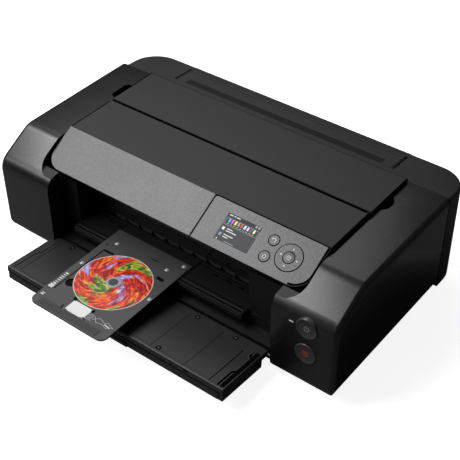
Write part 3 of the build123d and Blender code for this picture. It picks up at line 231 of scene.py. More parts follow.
def plastic(name, v, metal=0.0, spread=finishSpread):
    mat, tree, shader = newMaterial(name)
    place = placeOf(tree)
    texture = tree.nodes.new("ShaderNodeGroup")
    texture.node_tree = grain
    texture.inputs["Size"].default_value = v["size"]
    tree.links.new(place, texture.inputs["Place"])
    mix = tree.nodes.new("ShaderNodeMix")
    mix.data_type = "RGBA"
    mix.inputs["A"].default_value = (*[c * spread["dark"] for c in v["color"]], 1)
    mix.inputs["B"].default_value = (*[c * spread["light"] for c in v["color"]], 1)
    tree.links.new(texture.outputs["Shade"], mix.inputs["Factor"])
    color = mix.outputs["Result"]
    if v.get("flake"):
        sparkle = tree.nodes.new("ShaderNodeGroup")
        sparkle.node_tree = flake
        sparkle.inputs["Size"].default_value = v["size"]
        sparkle.inputs["Amount"].default_value = v["flake"]
        tree.links.new(place, sparkle.inputs["Place"])
        glint = tree.nodes.new("ShaderNodeMix")
        glint.data_type = "RGBA"
        glint.inputs["B"].default_value = (*[c * spread["glint"] for c in v["color"]], 1)
        tree.links.new(sparkle.outputs["Glint"], glint.inputs["Factor"])
        tree.links.new(color, glint.inputs["A"])
        color = glint.outputs["Result"]
    tree.links.new(color, shader.inputs["Base Color"])
    rough = tree.nodes.new("ShaderNodeMapRange")
    rough.inputs["To Min"].default_value = v["rough"] - spread["roughBy"]
    rough.inputs["To Max"].default_value = v["rough"] + spread["roughBy"]
    tree.links.new(texture.outputs["Shade"], rough.inputs["Value"])
    tree.links.new(rough.outputs["Result"], shader.inputs["Roughness"])
    shader.inputs["Metallic"].default_value = metal
    shader.inputs["Specular IOR Level"].default_value = v.get("gloss", 0.5)
    if v["depth"]:
        bump = tree.nodes.new("ShaderNodeBump")
        bump.inputs["Strength"].default_value = v["depth"]
        bump.inputs["Distance"].default_value = spread["bump"]
        tree.links.new(texture.outputs["Height"], bump.inputs["Height"])
        tree.links.new(bump.outputs["Normal"], shader.inputs["Normal"])
    made[name] = mat
    return mat


for name, values in finishes.items():
    plastic(name, values)
for name, values in metals.items():
    plastic(name, values, 1.0)
print("finishes made", len(made))

# Which finish each CAD piece wears; the outer ones get smooth copies
smoothWear = {
    "side_cover_left": ("bodyPlastic", "body_plastic"),
    "side_cover_right": ("bodyPlastic", "body_plastic"),
    "rear_case": ("topPlastic", "body_plastic"),
    "rear_cover": ("innerPlastic", "dark_plastic"),
    "top_cover": ("topPlastic", "lid_plastic"),
    "slope_plate": ("slopePaint", "slope_metal"),
    "operation_panel": ("slopePaint", "slope_metal"),
    "paper_support": ("topPlastic", "lid_plastic"),
    "manual_feed_cover": ("topPlastic", "body_plastic"),
    "output_tray": ("trayPlastic", "tray_plastic"),
    "output_extension": ("trayPlastic", "tray_plastic"),
    "tray_guide": ("guidePlasticPaintedShade", "tray_plastic"),
    "disc_tray": ("discTrayPlastic", "tray_plastic"),
    "nav_ring": ("ringPlastic", "ring_plastic"),
    "ok_button": ("ringPlastic", "gloss_black"),
    "back_key": ("ringPlastic", "ring_plastic"),
    "home_key": ("ringPlastic", "ring_plastic"),
    "inner_frame_left": ("innerPlastic", "dark_plastic"),
    "inner_frame_right": ("innerPlastic", "dark_plastic"),
    "exit_cover": ("glossBlack", "gloss_black"),
    "base_tray": ("innerPlastic", "dark_plastic"),
    "support_extension": ("trayPlastic", "tray_plastic"),
    "mark_plate": ("paleInsert", "label_plastic"),
    "rubber_feet": ("rubberFoot", "rubber"),
    "eject_roller": ("rubberFoot", "rubber"),
    "feed_roller": ("groundSteel", "shaft_steel"),
    "pinch_rollers": ("innerPlastic", "inner_grey"),
    "carriage_rail": ("groundSteel", "shaft_steel"),
    "ink_tanks": ("glossBlack", "ink_blue"),
    "carriage": ("innerPlastic", "inner_grey"),
}
plainWear = {
    "lcd_screen": "screenGlass",
    "status_light": "lightGuide",
    "panel_board": "boardGreen",
    "front_board": "boardGreen",
    "main_board": "boardGreen",
    "upper_frame": "innerPlastic",
    "chassis": "zincSheet",
    "platen": "innerPlastic",
    "star_wheels": "zincSheet",
    "feed_gear": "whiteAcetal",
    "idler_gear": "whiteAcetal",
    "eject_gear": "whiteAcetal",
    "motor_pinion": "whiteAcetal",
    "feed_motor": "zincSheet",
    "carriage_belt": "rubberFoot",
    "drive_pulley": "whiteAcetal",
    "idler_pulley": "whiteAcetal",
    "carriage_motor": "zincSheet",
    "capping_station": "innerPlastic",
    "rear_feed_bed": "innerPlastic",
    "paper_guide_left": "innerPlastic",
    "paper_guide_right": "innerPlastic",
    "power_supply": "innerPlastic",
    "power_inlet": "innerPlastic",
    "port_block": "innerPlastic",
    "case_screws": "zincSheet",
    "hinge_pins": "groundSteel",
}
bodyOf = {node: body for body, nodes in frame["record"]["behaviour"]["bodies"].items() for node in nodes}


def link(mesh, name, mat):
    piece = bpy.data.objects.new(name, mesh)
    bpy.context.scene.collection.objects.link(piece)
    piece.data.materials.clear()
    piece.data.materials.append(mat)
    return piece


# Pieces with walls in the narrow gaps round the lid, and the way those walls face: 0 is both ways. Those walls
# wear a near-black finish that is painted shade for the shadow in the gaps
gapWalls = {"top_cover": 0, "slope_plate": 0, "operation_panel": 0, "paper_support": 0,
            "side_cover_left": 1, "side_cover_right": -1}


def shadeWalls(bm, way, steep=0.6):
    for face in bm.faces:
        across = face.normal.x
        if abs(across) > steep and (way == 0 or across * way > 0):
            face.material_index = 1


def smoothCopy(node, finish, angle=28):
    mesh = frame["nodes"][node].data.copy()
    bm = bmesh.new()
    bm.from_mesh(mesh)
    bmesh.ops.remove_doubles(bm, verts=bm.verts, dist=2e-6)
    for edge in bm.edges:
        edge.smooth = edge.is_manifold and edge.calc_face_angle(9) < radians(angle)
    for face in bm.faces:
        face.smooth = True
        face.material_index = 0
    if node in gapWalls:
        bm.normal_update()
        shadeWalls(bm, gapWalls[node])
    bm.to_mesh(mesh)
    bm.free()
    piece = link(mesh, node + "Skin", made[finish])
    # Faces on the gap walls take the second, near-black finish: painted shade
    if node in gapWalls:
        piece.data.materials.append(made["gapPaintedShade"])
    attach(piece, bodyOf[node])
    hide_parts(node)
    return piece


skins = {}
for node, (finish, slotName) in smoothWear.items():
    skins[node] = smoothCopy(node, finish)
for node, finish in plainWear.items():
    slots = frame["nodes"][node].data.materials
    for k in range(len(slots)):
        slots[k] = made[finish]
print("skins made", len(skins))


# Flat faces that marks are laid on: a corner, the way across and the way up
def faceAt(corner, across, up):
    x, y = Vector(across).normalized(), Vector(up).normalized()
    turn = Matrix((x, y, x.cross(y))).transposed().to_4x4()
    return Matrix.Translation(Vector(corner)) @ turn


slopeFace = faceAt((0, -0.0245, 0.194), (1, 0, 0), (0, 0.8704, 0.4924))
trayTilt = radians(5.3)
trayFace = faceAt((0, -0.112, 0.034), (1, 0, 0), (0, cos(trayTilt), -sin(trayTilt)))
discFace = faceAt((0, 0, 0), (1, 0, 0), (0, 1, 0))
frontFace = faceAt((0, 0, 0), (1, 0, 0), (0, 0, 1))
mm = 0.001


def topOf(node, face, spot=None, reach=3):
    back = face.inverted()
    points = [back @ v.co for v in frame["nodes"][node].data.vertices]
    if spot:
        points = [p for p in points if abs(p.x / mm - spot[0]) < reach and abs(p.y / mm - spot[1]) < reach]
    return max(p.z for p in points) / mm


def tintFaces(bm, verts, tint):
    layer = bm.loops.layers.float_color.get("tint") or bm.loops.layers.float_color.new("tint")
    for face in {f for v in verts for f in v.link_faces}:
        for loop in face.loops:
            loop[layer] = (*tint, 1)


def addBar(bm, start, end, width, low, high, tint=(1, 1, 1)):
    a, b = Vector(start), Vector(end)
    mid, run = (a + b) / 2, b - a
    size = Matrix.Diagonal((run.length, width, high - low, 1))
    turn = Matrix.Rotation(run.angle_signed(Vector((1, 0))) if run.length else 0, 4, "Z")
    place = Matrix.Translation((mid.x, mid.y, (low + high) / 2))
    bar = bmesh.ops.create_cube(bm, size=1, matrix=place @ turn @ size)
    tintFaces(bm, bar["verts"], tint)


def addLine(bm, corners, width, low, high, tint):
    for start, end in zip(corners, corners[1:]):
        addBar(bm, start, end, width, low, high, tint)


def addDot(bm, spot, r, low, high, tint=(1, 1, 1), sides=20):
    place = Matrix.Translation((spot[0], spot[1], (low + high) / 2))
    soft = min(0.15, r * 0.2)
    dot = bmesh.ops.create_cone(bm, cap_ends=True, segments=sides, radius1=r, radius2=r - soft,
                                depth=high - low, matrix=place)
    tintFaces(bm, dot["verts"], tint)


def addRing(bm, spot, r, width, low, high, start=0, sweep=360, tint=(1, 1, 1), steps=48):
    a = radians(start)
    place = Matrix.Translation((spot[0], spot[1], (low + high) / 2)) @ Matrix.Rotation(a, 4, "Z")
    place = place @ Matrix.Translation((r, 0, 0)) @ Matrix.Rotation(radians(90), 4, "X")
    loop = bmesh.ops.create_grid(bm, x_segments=1, y_segments=1, size=0.5,
                                 matrix=place @ Matrix.Diagonal((width, high - low, 1, 1)))
    faces = list({f for v in loop["verts"] for f in v.link_faces})
    edges = list({e for v in loop["verts"] for e in v.link_edges})
    around = sweep == 360
    if around:
        bmesh.ops.delete(bm, geom=faces, context="FACES_ONLY")
        faces = []
    before = set(bm.verts)
    bmesh.ops.spin(bm, geom=loop["verts"] + edges + faces, cent=(spot[0], spot[1], 0), axis=(0, 0, 1),
                   angle=radians(sweep), steps=steps, use_merge=around)
    tintFaces(bm, [v for v in bm.verts if v not in before or v in loop["verts"]], tint)


def addFrame(bm, left, right, low, high, width, base, top, tint=(1, 1, 1)):
    for x in (left, right):
        addBar(bm, (x, low), (x, high), width, base, top, tint)
    for y in (low, high):
        addBar(bm, (left, y), (right, y), width, base, top, tint)


def layOn(bm, name, face, mat, body, smoothAngle=None):
    bmesh.ops.recalc_face_normals(bm, faces=bm.faces)
    bmesh.ops.transform(bm, matrix=face @ Matrix.Scale(mm, 4), verts=bm.verts)
    if smoothAngle:
        for edge in bm.edges:
            edge.smooth = edge.is_manifold and edge.calc_face_angle(9) < radians(smoothAngle)
        for part in bm.faces:
            part.smooth = True
    mesh = bpy.data.meshes.new(name)
    bm.to_mesh(mesh)
    bm.free()
    piece = link(mesh, name, mat)
    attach(piece, body)
    return piece


def makePrint(name, glow, rough, shine=0.08):
    mat, tree, shader = newMaterial(name)
    tint = tree.nodes.new("ShaderNodeVertexColor")
    tint.layer_name = "tint"
    texture = tree.nodes.new("ShaderNodeGroup")
    texture.node_tree = grain
    texture.inputs["Size"].default_value = 1500
    tree.links.new(placeOf(tree), texture.inputs["Place"])
    worn = tree.nodes.new("ShaderNodeMix")
    worn.data_type, worn.blend_type = "RGBA", "MULTIPLY"
    worn.inputs["Factor"].default_value = 0.25
    tree.links.new(tint.outputs["Color"], worn.inputs["A"])
    tree.links.new(texture.outputs["Height"], worn.inputs["B"])
    tree.links.new(worn.outputs["Result"], shader.inputs["Base Color"])
    shader.inputs["Roughness"].default_value = rough
    shader.inputs["Specular IOR Level"].default_value = shine
    if glow:
        tree.links.new(tint.outputs["Color"], shader.inputs["Emission Color"])
        shader.inputs["Emission Strength"].default_value = glow
    return mat


# Material for printed marks, and also for marks of painted shade in slots, holes, grooves and gaps
printAndPaintedShade = makePrint("printAndPaintedShade", 0, 0.5)
# Matte material for lines of painted shade in gaps and seams, and for thin painted highlights on edges
paintedShadeAndHighlight = makePrint("paintedShadeAndHighlight", 0, 1.0, 0)
screenLight = makePrint("screenLight", 0.55, 0.3)

# The colour screen's picture: rows of marks and a row of colour levels, no words
screenLook = {
    "left": 80, "right": 141, "top": -15, "bottom": -61, "back": (0.045, 0.046, 0.048),
    "bar": (0.025, 0.025, 0.027), "line": (0.3, 0.3, 0.31), "mark": (0.62, 0.62, 0.63),
    "accent": (0.2, 0.25, 0.4), "titleBars": ((84, 90), (92, 95), (96.5, 103)), "titleRings": (131, 136),
    "levels": ((0.02, 0.5, 0.75), (0.75, 0.05, 0.45), (0.8, 0.7, 0.05), (0.3, 0.3, 0.32), (0.75, 0.06, 0.04),
               (0.35, 0.75, 0.85), (0.85, 0.45, 0.75), (0.12, 0.12, 0.13), (0.7, 0.68, 0.5)),
}


def makeScreen(v):
    bm = bmesh.new()
    base = topOf("lcd_screen", slopeFace)
    left, right, top, bottom = v["left"], v["right"], v["top"], v["bottom"]
    across = right - left
    middle, level = (left + right) / 2, (top + bottom) / 2
    height = top - bottom
    addBar(bm, (left + 0.8, level), (right - 0.8, level), height - 1.6, base - 0.1, base + 0.04, v["back"])
    addBar(bm, (left + 0.8, top - 3.8), (right - 0.8, top - 3.8), 6, base, base + 0.06, v["bar"])
    low, high = base + 0.03, base + 0.12
    for start, end in v["titleBars"]:
        addBar(bm, (start, top - 3.4), (end, top - 3.4), 1.5, low, high, v["mark"])
    for x in v["titleRings"]:
        addRing(bm, (x, top - 3.6), 1.2, 0.7, low, high, tint=v["mark"], steps=12)
    addFrame(bm, left + 2.5, right - 2.5, top - 19, top - 8.4, 0.45, low, high, v["line"])
    for k, tint in enumerate(v["levels"]):
        x = left + 9 + k * (across - 18) / (len(v["levels"]) - 1)
        addBar(bm, (x, top - 14.4), (x, top - 10), 3, low, high, tint)
        addDot(bm, (x, top - 10), 1.5, low, high, tint, 12)
        addBar(bm, (x - 0.8, top - 17), (x + 0.8, top - 17), 0.9, low, high, v["mark"])
    for row, (y, tint) in enumerate(((top - 25.5, v["mark"]), (top - 35, v["accent"]))):
        addBar(bm, (left + 4.5, y), (left + 8.5, y), 4.6, low, high, tint)
        addBar(bm, (left + 12, y + 1.6), (left + 22 + row * 6, y + 1.6), 1.2, low, high, v["mark"])
        addBar(bm, (left + 12, y - 1.8), (left + 30 - row * 9, y - 1.8), 1.2, low, high, v["mark"])
    addDot(bm, (left + 5.5, bottom + 3), 1.1, low, high, v["mark"], 12)
    addBar(bm, (middle - 12, bottom + 3), (middle + 4, bottom + 3), 0.8, low, high, v["line"])
    layOn(bm, "screenPicture", slopeFace, screenLight, bodyOf["lcd_screen"])


# Painted shade in the gaps round the keys, and the light marks printed on them
keyMarks = {
    "back": (165.3, -24.6), "home": (165.3, -51.6), "ring": (198.7, -38.1), "keyR": 7.6, "ringR": 20,
    "okR": 8.2, "dots": 13.3, "gap": 1.35, "sunk": 0.05, "proud": 0.06, "white": (0.85, 0.85, 0.86),
    "shadeTint": (0.0004, 0.0004, 0.0004),
    "house": ((-2.3, -2.4), (-2.3, 0.8), (0, 3.0), (2.3, 0.8), (2.3, -2.4), (-2.3, -2.4)),
}


def makeKeyMarks(v):
    gaps = bmesh.new()
    flat = topOf("operation_panel", slopeFace)
    for spot, r in ((v["back"], v["keyR"]), (v["home"], v["keyR"]), (v["ring"], v["ringR"])):
        addRing(gaps, spot, r + 0.8, v["gap"], flat - 0.3, flat + 0.04, tint=v["shadeTint"], steps=64)
    layOn(gaps, "keyGapShade", slopeFace, paintedShadeAndHighlight, bodyOf["operation_panel"])

    turn = bmesh.new()
    low = topOf("back_key", slopeFace)
    x, y = v["back"]
    addRing(turn, (x, y), 2.9, 0.9, low - v["sunk"], low + v["proud"], -70, 250, v["white"], 16)
    addBar(turn, (x - 2.9, y + 0.4), (x - 4.5, y + 2.0), 0.9, low - v["sunk"], low + v["proud"], v["white"])
    addBar(turn, (x - 2.9, y + 0.4), (x - 1.2, y + 1.8), 0.9, low - v["sunk"], low + v["proud"], v["white"])
    layOn(turn, "backMark", slopeFace, printAndPaintedShade, bodyOf["back_key"])

    house = bmesh.new()
    low = topOf("home_key", slopeFace)
    x, y = v["home"]
    outline = [(x + a, y + b) for a, b in v["house"]]
    addLine(house, outline, 0.7, low - v["sunk"], low + v["proud"], v["white"])
    layOn(house, "homeMark", slopeFace, printAndPaintedShade, bodyOf["home_key"])

    dots = bmesh.new()
    x, y = v["ring"]
    low = topOf("nav_ring", slopeFace)
    for k in range(4):
        a = radians(90 * k)
        spot = (x + v["dots"] * cos(a), y + v["dots"] * sin(a))
        addDot(dots, spot, 1.35, low - 0.35, low + 0.05, v["white"])
    # A near-black ring round the OK key: painted shade in its gap
    addRing(dots, (x, y), v["okR"] + 0.8, 1.3, low - 0.6, low + 0.03, tint=v["shadeTint"], steps=48)
    layOn(dots, "ringMarksAndGapShade", slopeFace, printAndPaintedShade, bodyOf["nav_ring"])

    centre = bmesh.new()
    low = topOf("ok_button", slopeFace, (x, y), 9)
    addRing(centre, (x, y), 2.7, 0.7, low - 0.3, low + 0.04, tint=v["white"], steps=24)
    addDot(centre, (x, y), 1.0, low - 0.3, low + 0.04, v["white"])
    layOn(centre, "okMark", slopeFace, printAndPaintedShade, bodyOf["ok_button"])


makeScreen(screenLook)
makeKeyMarks(keyMarks)

# The two dished front buttons: their faces are upright, so they stand proud where the block leans back
frontButtons = {
    "power_button": {"z": 129.6, "face": -119.6, "sign": (0.4, 0.4, 0.41)},
    "stop_button": {"z": 82.3, "face": -119.2, "sign": (0.85, 0.05, 0.04)},
}
buttonShape = {
    "x": 271.7,
    "profile": ((17.3, 9), (17.3, 0.9), (16.9, 0.3), (16.3, 0.0), (15.2, 0.0),
                (14.6, 0.25), (13.9, 0.75), (12.0, 0.95), (0, 1.0)),
    "signLow": -1.05, "signHigh": -0.88, "triangle": ((0, 2.4), (-2.1, -1.3), (2.1, -1.3), (0, 2.4)),
}


def makeButton(node, v, shape):
    bm = bmesh.new()
    line = [bm.verts.new((r, 0, -deep)) for r, deep in shape["profile"]]
    edges = [bm.edges.new(pair) for pair in zip(line, line[1:])]
    bmesh.ops.spin(bm, geom=line + edges, cent=(0, 0, 0), axis=(0, 0, 1), angle=radians(360), steps=72,
                   use_merge=True)
    bmesh.ops.remove_doubles(bm, verts=bm.verts, dist=1e-4)
    bmesh.ops.holes_fill(bm, edges=[e for e in bm.edges if e.is_boundary], sides=0)
    face = frontFace @ Matrix.Translation((shape["x"] * mm, v["z"] * mm, -v["face"] * mm))
    cap = layOn(bm, node + "Cap", face, made["buttonPlastic"], bodyOf[node], 35)
    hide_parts(node)

    sign = bmesh.new()
    low, high = shape["signLow"], shape["signHigh"]
    if node == "power_button":
        addRing(sign, (0, 0), 4, 0.9, low, high, 125, 290, v["sign"], 28)
        addBar(sign, (0, 0.8), (0, 5.2), 0.9, low, high, v["sign"])
    else:
        addRing(sign, (0, 0), 4.6, 0.8, low, high, 0, 360, v["sign"], 32)
        addLine(sign, shape["triangle"], 0.8, low, high, v["sign"])
    layOn(sign, node + "Sign", face, printAndPaintedShade, bodyOf[node])


for node, values in frontButtons.items():
    makeButton(node, values, buttonShape)
print("panel, keys and buttons made")

# Prints on the disc tray: arrows, the strip at its left edge, a line drawing and the ridged nose, with painted
# shade in its slots, its finger hole and the nose's grooves
discTrayMarks = {
    "top": 68.6, "dark": (0.002, 0.002, 0.002), "light": (0.62, 0.62, 0.63), "dim": (0.28, 0.28, 0.29),
    "pale": (0.78, 0.78, 0.78),
    "arrows": ((-113, -240), (-113.4, -156.5), (-100.9, -91.3), (0, -91), (16, -70), (21, -155.5)),
    "slots": (
        ((-69, -244), (-60, -244), 3.0), ((-34, -244), (-24, -244), 3.0), ((-68, -220), (-62, -220), 3.2),
        ((-29, -223), (-23, -223), 3.4), ((-106.8, -221.4), (-106.2, -113.2), 2.2),
        ((-106.6, -112.8), (-87, -112.2), 4.4), ((-0.7, -111.2), (12.9, -112.2), 6),
        ((-70, -238), (-70, -246), 2.4), ((-29, -240), (-29, -247), 2.4), ((-26, -219), (-26, -226), 2.4),
        ((-69, -217), (-61, -217), 2.4), ((-114, -101), (-108, -101), 2), ((-35, -84), (-20, -84), 1.6),
    ),
    "ticks": (-66.5, -64.5, -62.5, -31.5, -29.5, -27.5), "fingerHole": (-95, -197), "figure": (-22, -232),
    "drawing": (
        ((-17, -228), (-8, -237)), ((-17, -236), (-8, -227)), ((-8, -227), (2, -231)), ((-8, -237), (2, -235)),
        ((2, -231), (9, -228)), ((2, -235), (12, -238)), ((12, -238), (20, -232)), ((9, -228), (20, -232)),
        ((-28, -239), (-16, -239)),
    ),
    "ridges": {"left": -106, "right": 9, "start": -258.5, "end": -246, "step": 2.05,
               "grooveShade": (0.012, 0.012, 0.012)},
}


def makeDiscTrayMarks(v):
    bm = bmesh.new()
    low, high = v["top"] - 0.05, v["top"] + 0.06
    for x, y in v["arrows"]:
        addDot(bm, (x, y), 3.1, low, high, v["pale"], 3)
        addBar(bm, (x - 2.6, y + 3.4), (x + 3.2, y + 3.4), 0.9, low, high, v["light"])
        addBar(bm, (x + 2.8, y + 3.4), (x + 2.8, y - 1.2), 0.9, low, high, v["light"])
    addBar(bm, (-118, -219), (-110.5, -219), 7.5, low, high, v["pale"])
    addRing(bm, (-114.2, -219), 2, 0.7, high - 0.02, high + 0.05, tint=v["dim"], steps=20)
    for k in range(7):
        y = -212.5 + k * 4.4
        width = 1.6 if k % 3 else 2.6
        addBar(bm, (-116.5, y), (-111, y), width, low, high, v["light"] if k % 2 else v["pale"])
    # Near-black bars at the tray's slots: painted shade for the openings
    for start, end, width in v["slots"]:
        addBar(bm, start, end, width, low, high, v["dark"])
    for x in v["ticks"]:
        addBar(bm, (x, -245.6), (x, -242.6), 0.5, high - 0.02, high + 0.04, v["light"])
    # A near-black disc sunk in the finger hole: painted shade that closes the through-hole
    addDot(bm, v["fingerHole"], 9, v["top"] - 2.7, v["top"] - 2.2, v["dark"], 36)
    addRing(bm, v["figure"], 4.8, 0.5, low, high, tint=v["light"], steps=6)
    addRing(bm, v["figure"], 2.4, 0.5, low, high, tint=v["light"], steps=24)
    for start, end in v["drawing"]:
        addBar(bm, start, end, 0.6, low, high, v["light"])
    addBar(bm, (5, -233), (16, -234.5), 1.7, low, high, v["pale"])
    r = v["ridges"]
    rows = int((r["end"] - r["start"]) / r["step"])
    # Dark bars between the nose's ridges: painted shade in the grooves
    for k in range(rows):
        y = r["start"] + (k + 0.5) * r["step"]
        addBar(bm, (r["left"], y), (r["right"], y), r["step"] * 0.42, low, high + 0.04, r["grooveShade"])
    layOn(bm, "discTrayPrintAndShade", discFace, printAndPaintedShade, bodyOf["disc_tray"])

    nose = bmesh.new()
    middle, deep = (r["start"] + r["end"]) / 2, r["end"] - r["start"]
    addBar(nose, (r["left"], middle), (r["right"], middle), deep, v["top"] - 0.2, v["top"] + 0.03)
    for k in range(rows + 1):
        y = r["start"] + k * r["step"]
        addBar(nose, (r["left"], y), (r["right"], y), r["step"] * 0.5, v["top"] - 0.2, v["top"] + 0.45)
    layOn(nose, "discTrayGrip", discFace, made["gripPlastic"], bodyOf["disc_tray"])


makeDiscTrayMarks(discTrayMarks)

# The output tray's round bosses with painted shade round them and a painted highlight on top, its side rails
# drawn as lines of painted shade beside painted highlights, and painted shade in its dip
trayBosses = {
    "top": 5.5, "sunk": 0.5, "r": 3.0, "spots": ((34, -7), (83, -7), (153, -7), (82, -95), (-174, -5)),
    "rails": (((191, -99), (191, -66), (196, -61), (196, -31), (191, -26), (191, -13)),
              ((-207, -99), (-207, -52), (-202, -46), (-202, -13))),
    "dip": ((198.5, -99), (198.5, -13)), "dipWide": 7, "dipShade": (0.003, 0.003, 0.003),
    "shadeTint": (0.001, 0.001, 0.001), "bossHighlight": (0.09, 0.09, 0.09), "edge": (0.075, 0.075, 0.075),
}


def makeTrayBosses(v):
    bm = bmesh.new()
    top, low = v["top"], v["top"] - v["sunk"]
    for spot in v["spots"]:
        addRing(bm, spot, v["r"] + 0.3, 1.9, low, top + 0.05, tint=v["shadeTint"], steps=28)
        addDot(bm, spot, v["r"] - 1.2, low, top + 0.25, v["bossHighlight"], 20)
    for rail in v["rails"]:
        for a, b in zip(rail, rail[1:]):
            addBar(bm, a, b, 1.6, low, top + 0.05, v["shadeTint"])
            # A grey line beside each rail line: a painted highlight on the rail's edge
            addBar(bm, (a[0] - 1.4, a[1]), (b[0] - 1.4, b[1]), 0.8, low, top + 0.06, v["edge"])
    addBar(bm, *v["dip"], v["dipWide"], low, top + 0.04, v["dipShade"])
    layOn(bm, "trayBosses", trayFace, paintedShadeAndHighlight, bodyOf["output_tray"])


makeTrayBosses(trayBosses)

# Painted shade lines on the case: the feed slit, the gaps beside the lid, the seams of the rear cover and the
# panel
darkLines = {
    "slit": {"half": 190.5, "start": 1.0, "end": 14.5, "tint": (0.019, 0.019, 0.019)},
    "deck": 186.0, "fall": 5 / 71, "fallStart": 179.0, "shadeTint": (0.0004, 0.0004, 0.0004),
    "gapLeft": (-252.2, -246.5), "gapRight": (246.5, 249.4), "gapFront": -24, "gapRear": 174,
    "notch": {"x": -257, "start": 97, "end": 124, "width": 17},
    "coverSeamShade": 2.6, "lidSeamShade": 3.6, "panelSeamShade": 2.4, "lidEdgeShade": 2.0, "lidFold": -23,
    "panelRound": 28, "panelLong": 72.9, "endGap": 3.4,
}
# Lines on the tray guide: the near-black ones are painted shade in its grooves and slots, the grey ones are
# painted highlights
guideLines = {
    "left": -184, "right": 144, "clear": ((-184, -121.5), (27.5, 144)), "level": 65.8,
    "slots": (-150, -132, 60, 84, 108, 126), "slotRow": -52, "shadeTint": (0.0004, 0.0004, 0.0004),
    "fronts": ((62.2, 1.6, (0.001, 0.001, 0.001)), (60.5, 0.9, (0.11, 0.11, 0.11)),
               (58.6, 1.6, (0.001, 0.001, 0.001)), (64.9, 0.9, (0.09, 0.09, 0.09))),
    "tops": ((-91.5, 2.2, (0.001, 0.001, 0.001)), (-89.2, 1.0, (0.06, 0.06, 0.06)),
             (-83.5, 1.6, (0.001, 0.001, 0.001)), (-46, 1.6, (0.001, 0.001, 0.001)),
             (-44, 0.9, (0.045, 0.045, 0.045))),
}
# Lines on the output tray's front: the near-black ones are painted shade along its seams, the grey ones are
# painted highlights along its edges
lipLines = {
    "left": -212, "right": 199, "front": 104.0, "shadeTint": (0.0004, 0.0004, 0.0004),
    "lips": ((-4.3, 1.6, (0.001, 0.001, 0.001)), (4.7, 0.5, (0.06, 0.06, 0.06)),
             (-3.1, 0.4, (0.035, 0.035, 0.035))),
    "marks": (((112, -4.5), (112, 4.4), 1.1), ((134, 1.2), (143, 1.2), 2.6),
              ((-112, -4.5), (-112, 4.4), 1.1)),
}


def makeFeedLines(v):
    low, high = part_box("manual_feed_cover")
    front, rear, half = low[1] / mm, high[1] / mm, high[0] / mm
    level = v["deck"] - v["fall"] * (front - v["fallStart"])
    falling = faceAt((0, front * mm, level * mm), (1, 0, 0), (0, 1, -v["fall"]))
    slit = v["slit"]
    middle = (slit["start"] + slit["end"]) / 2
    wide = slit["end"] - slit["start"]
    bm = bmesh.new()
    # A dark strip over the feed slit's shallow recess: painted shade
    addBar(bm, (-slit["half"], middle), (slit["half"], middle), wide, -0.1, 0.07, slit["tint"])
    layOn(bm, "feedSlitShade", falling, printAndPaintedShade, bodyOf["manual_feed_cover"])
    bm = bmesh.new()
    # Near-black lines at the rear cover's seams: painted shade
    for side in (-1, 1):
        x = side * (half + 0.6)
        addBar(bm, (x, 0), (x, rear - front), v["coverSeamShade"], -0.1, 0.07, v["shadeTint"])
    layOn(bm, "rearSeamShade", falling, paintedShadeAndHighlight, bodyOf["rear_case"])


def makeLidGapLines(v):
    bm = bmesh.new()
    low, top, shadeTint = v["deck"] - 0.1, v["deck"] + 0.06, v["shadeTint"]
    # Near-black strips on the deck beside the lid, and a near-black pad at the left finger recess: painted
    # shade
    for left, right in (v["gapLeft"], v["gapRight"]):
        x = (left + right) / 2
        addBar(bm, (x, v["gapFront"]), (x, v["gapRear"]), right - left, low, top, shadeTint)
    notch = v["notch"]
    ends = [(notch["x"], y) for y in (notch["start"], notch["end"])]
    addBar(bm, *ends, notch["width"], low, top + 0.02, shadeTint)
    for end in ends:
        addDot(bm, end, notch["width"] / 2, low, top + 0.02, shadeTint, 24)
    layOn(bm, "lidGapShade", discFace, paintedShadeAndHighlight, bodyOf["side_cover_left"])


def makeLidLines(v):
    bm = bmesh.new()
    low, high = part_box("top_cover")
    y, top = high[1] / mm - 0.9, high[2] / mm
    # Near-black lines along the lid's rear seam and its left edges: painted shade
    addBar(bm, (low[0] / mm + 1, y), (high[0] / mm - 1, y), v["lidSeamShade"], top - 0.5, top + 0.05, v["shadeTint"])
    layOn(bm, "lidSeamShade", discFace, paintedShadeAndHighlight, bodyOf["top_cover"])
    for node, start in (("top_cover", v["lidFold"]), ("paper_support", None)):
        bm = bmesh.new()
        low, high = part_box(node)
        start = low[1] / mm + 1 if start is None else start
        x, end, top = low[0] / mm + 0.9, high[1] / mm - 6, high[2] / mm
        addBar(bm, (x, start), (x, end), v["lidEdgeShade"], top - 0.5, top + 0.05, v["shadeTint"])
        layOn(bm, node + "EdgeShade", discFace, paintedShadeAndHighlight, bodyOf[node])


def makePanelSeam(v):
    bm = bmesh.new()
    low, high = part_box("operation_panel")
    flat, shadeTint, seam = topOf("operation_panel", slopeFace), v["shadeTint"], v["panelSeamShade"]
    x = low[0] / mm - 0.4
    # Near-black lines along the panel's seams: painted shade
    addBar(bm, (x, -4.5), (x, -71.5), seam, flat - 0.5, flat + 0.04, shadeTint)
    addRing(bm, (x + 5, -5), 5, seam, flat - 0.5, flat + 0.04, 90, 90, shadeTint, 8)
    addBar(bm, (x + 5, 0), (high[0] / mm - 1, 0), seam - 0.5, flat - 0.5, flat + 0.04, shadeTint)
    end, r, gap = high[0] / mm, v["panelRound"], v["endGap"]
    bend = v["panelLong"] - r
    addBar(bm, (end - gap / 2 - 0.2, -1), (end - gap / 2 - 0.2, -bend), gap, flat - 0.5, flat + 0.05, shadeTint)
    addRing(bm, (end - r, -bend), r - gap / 2 - 0.2, gap, flat - 0.5, flat + 0.05, -90, 90, shadeTint, 20)
    layOn(bm, "panelSeamShade", slopeFace, paintedShadeAndHighlight, bodyOf["operation_panel"])


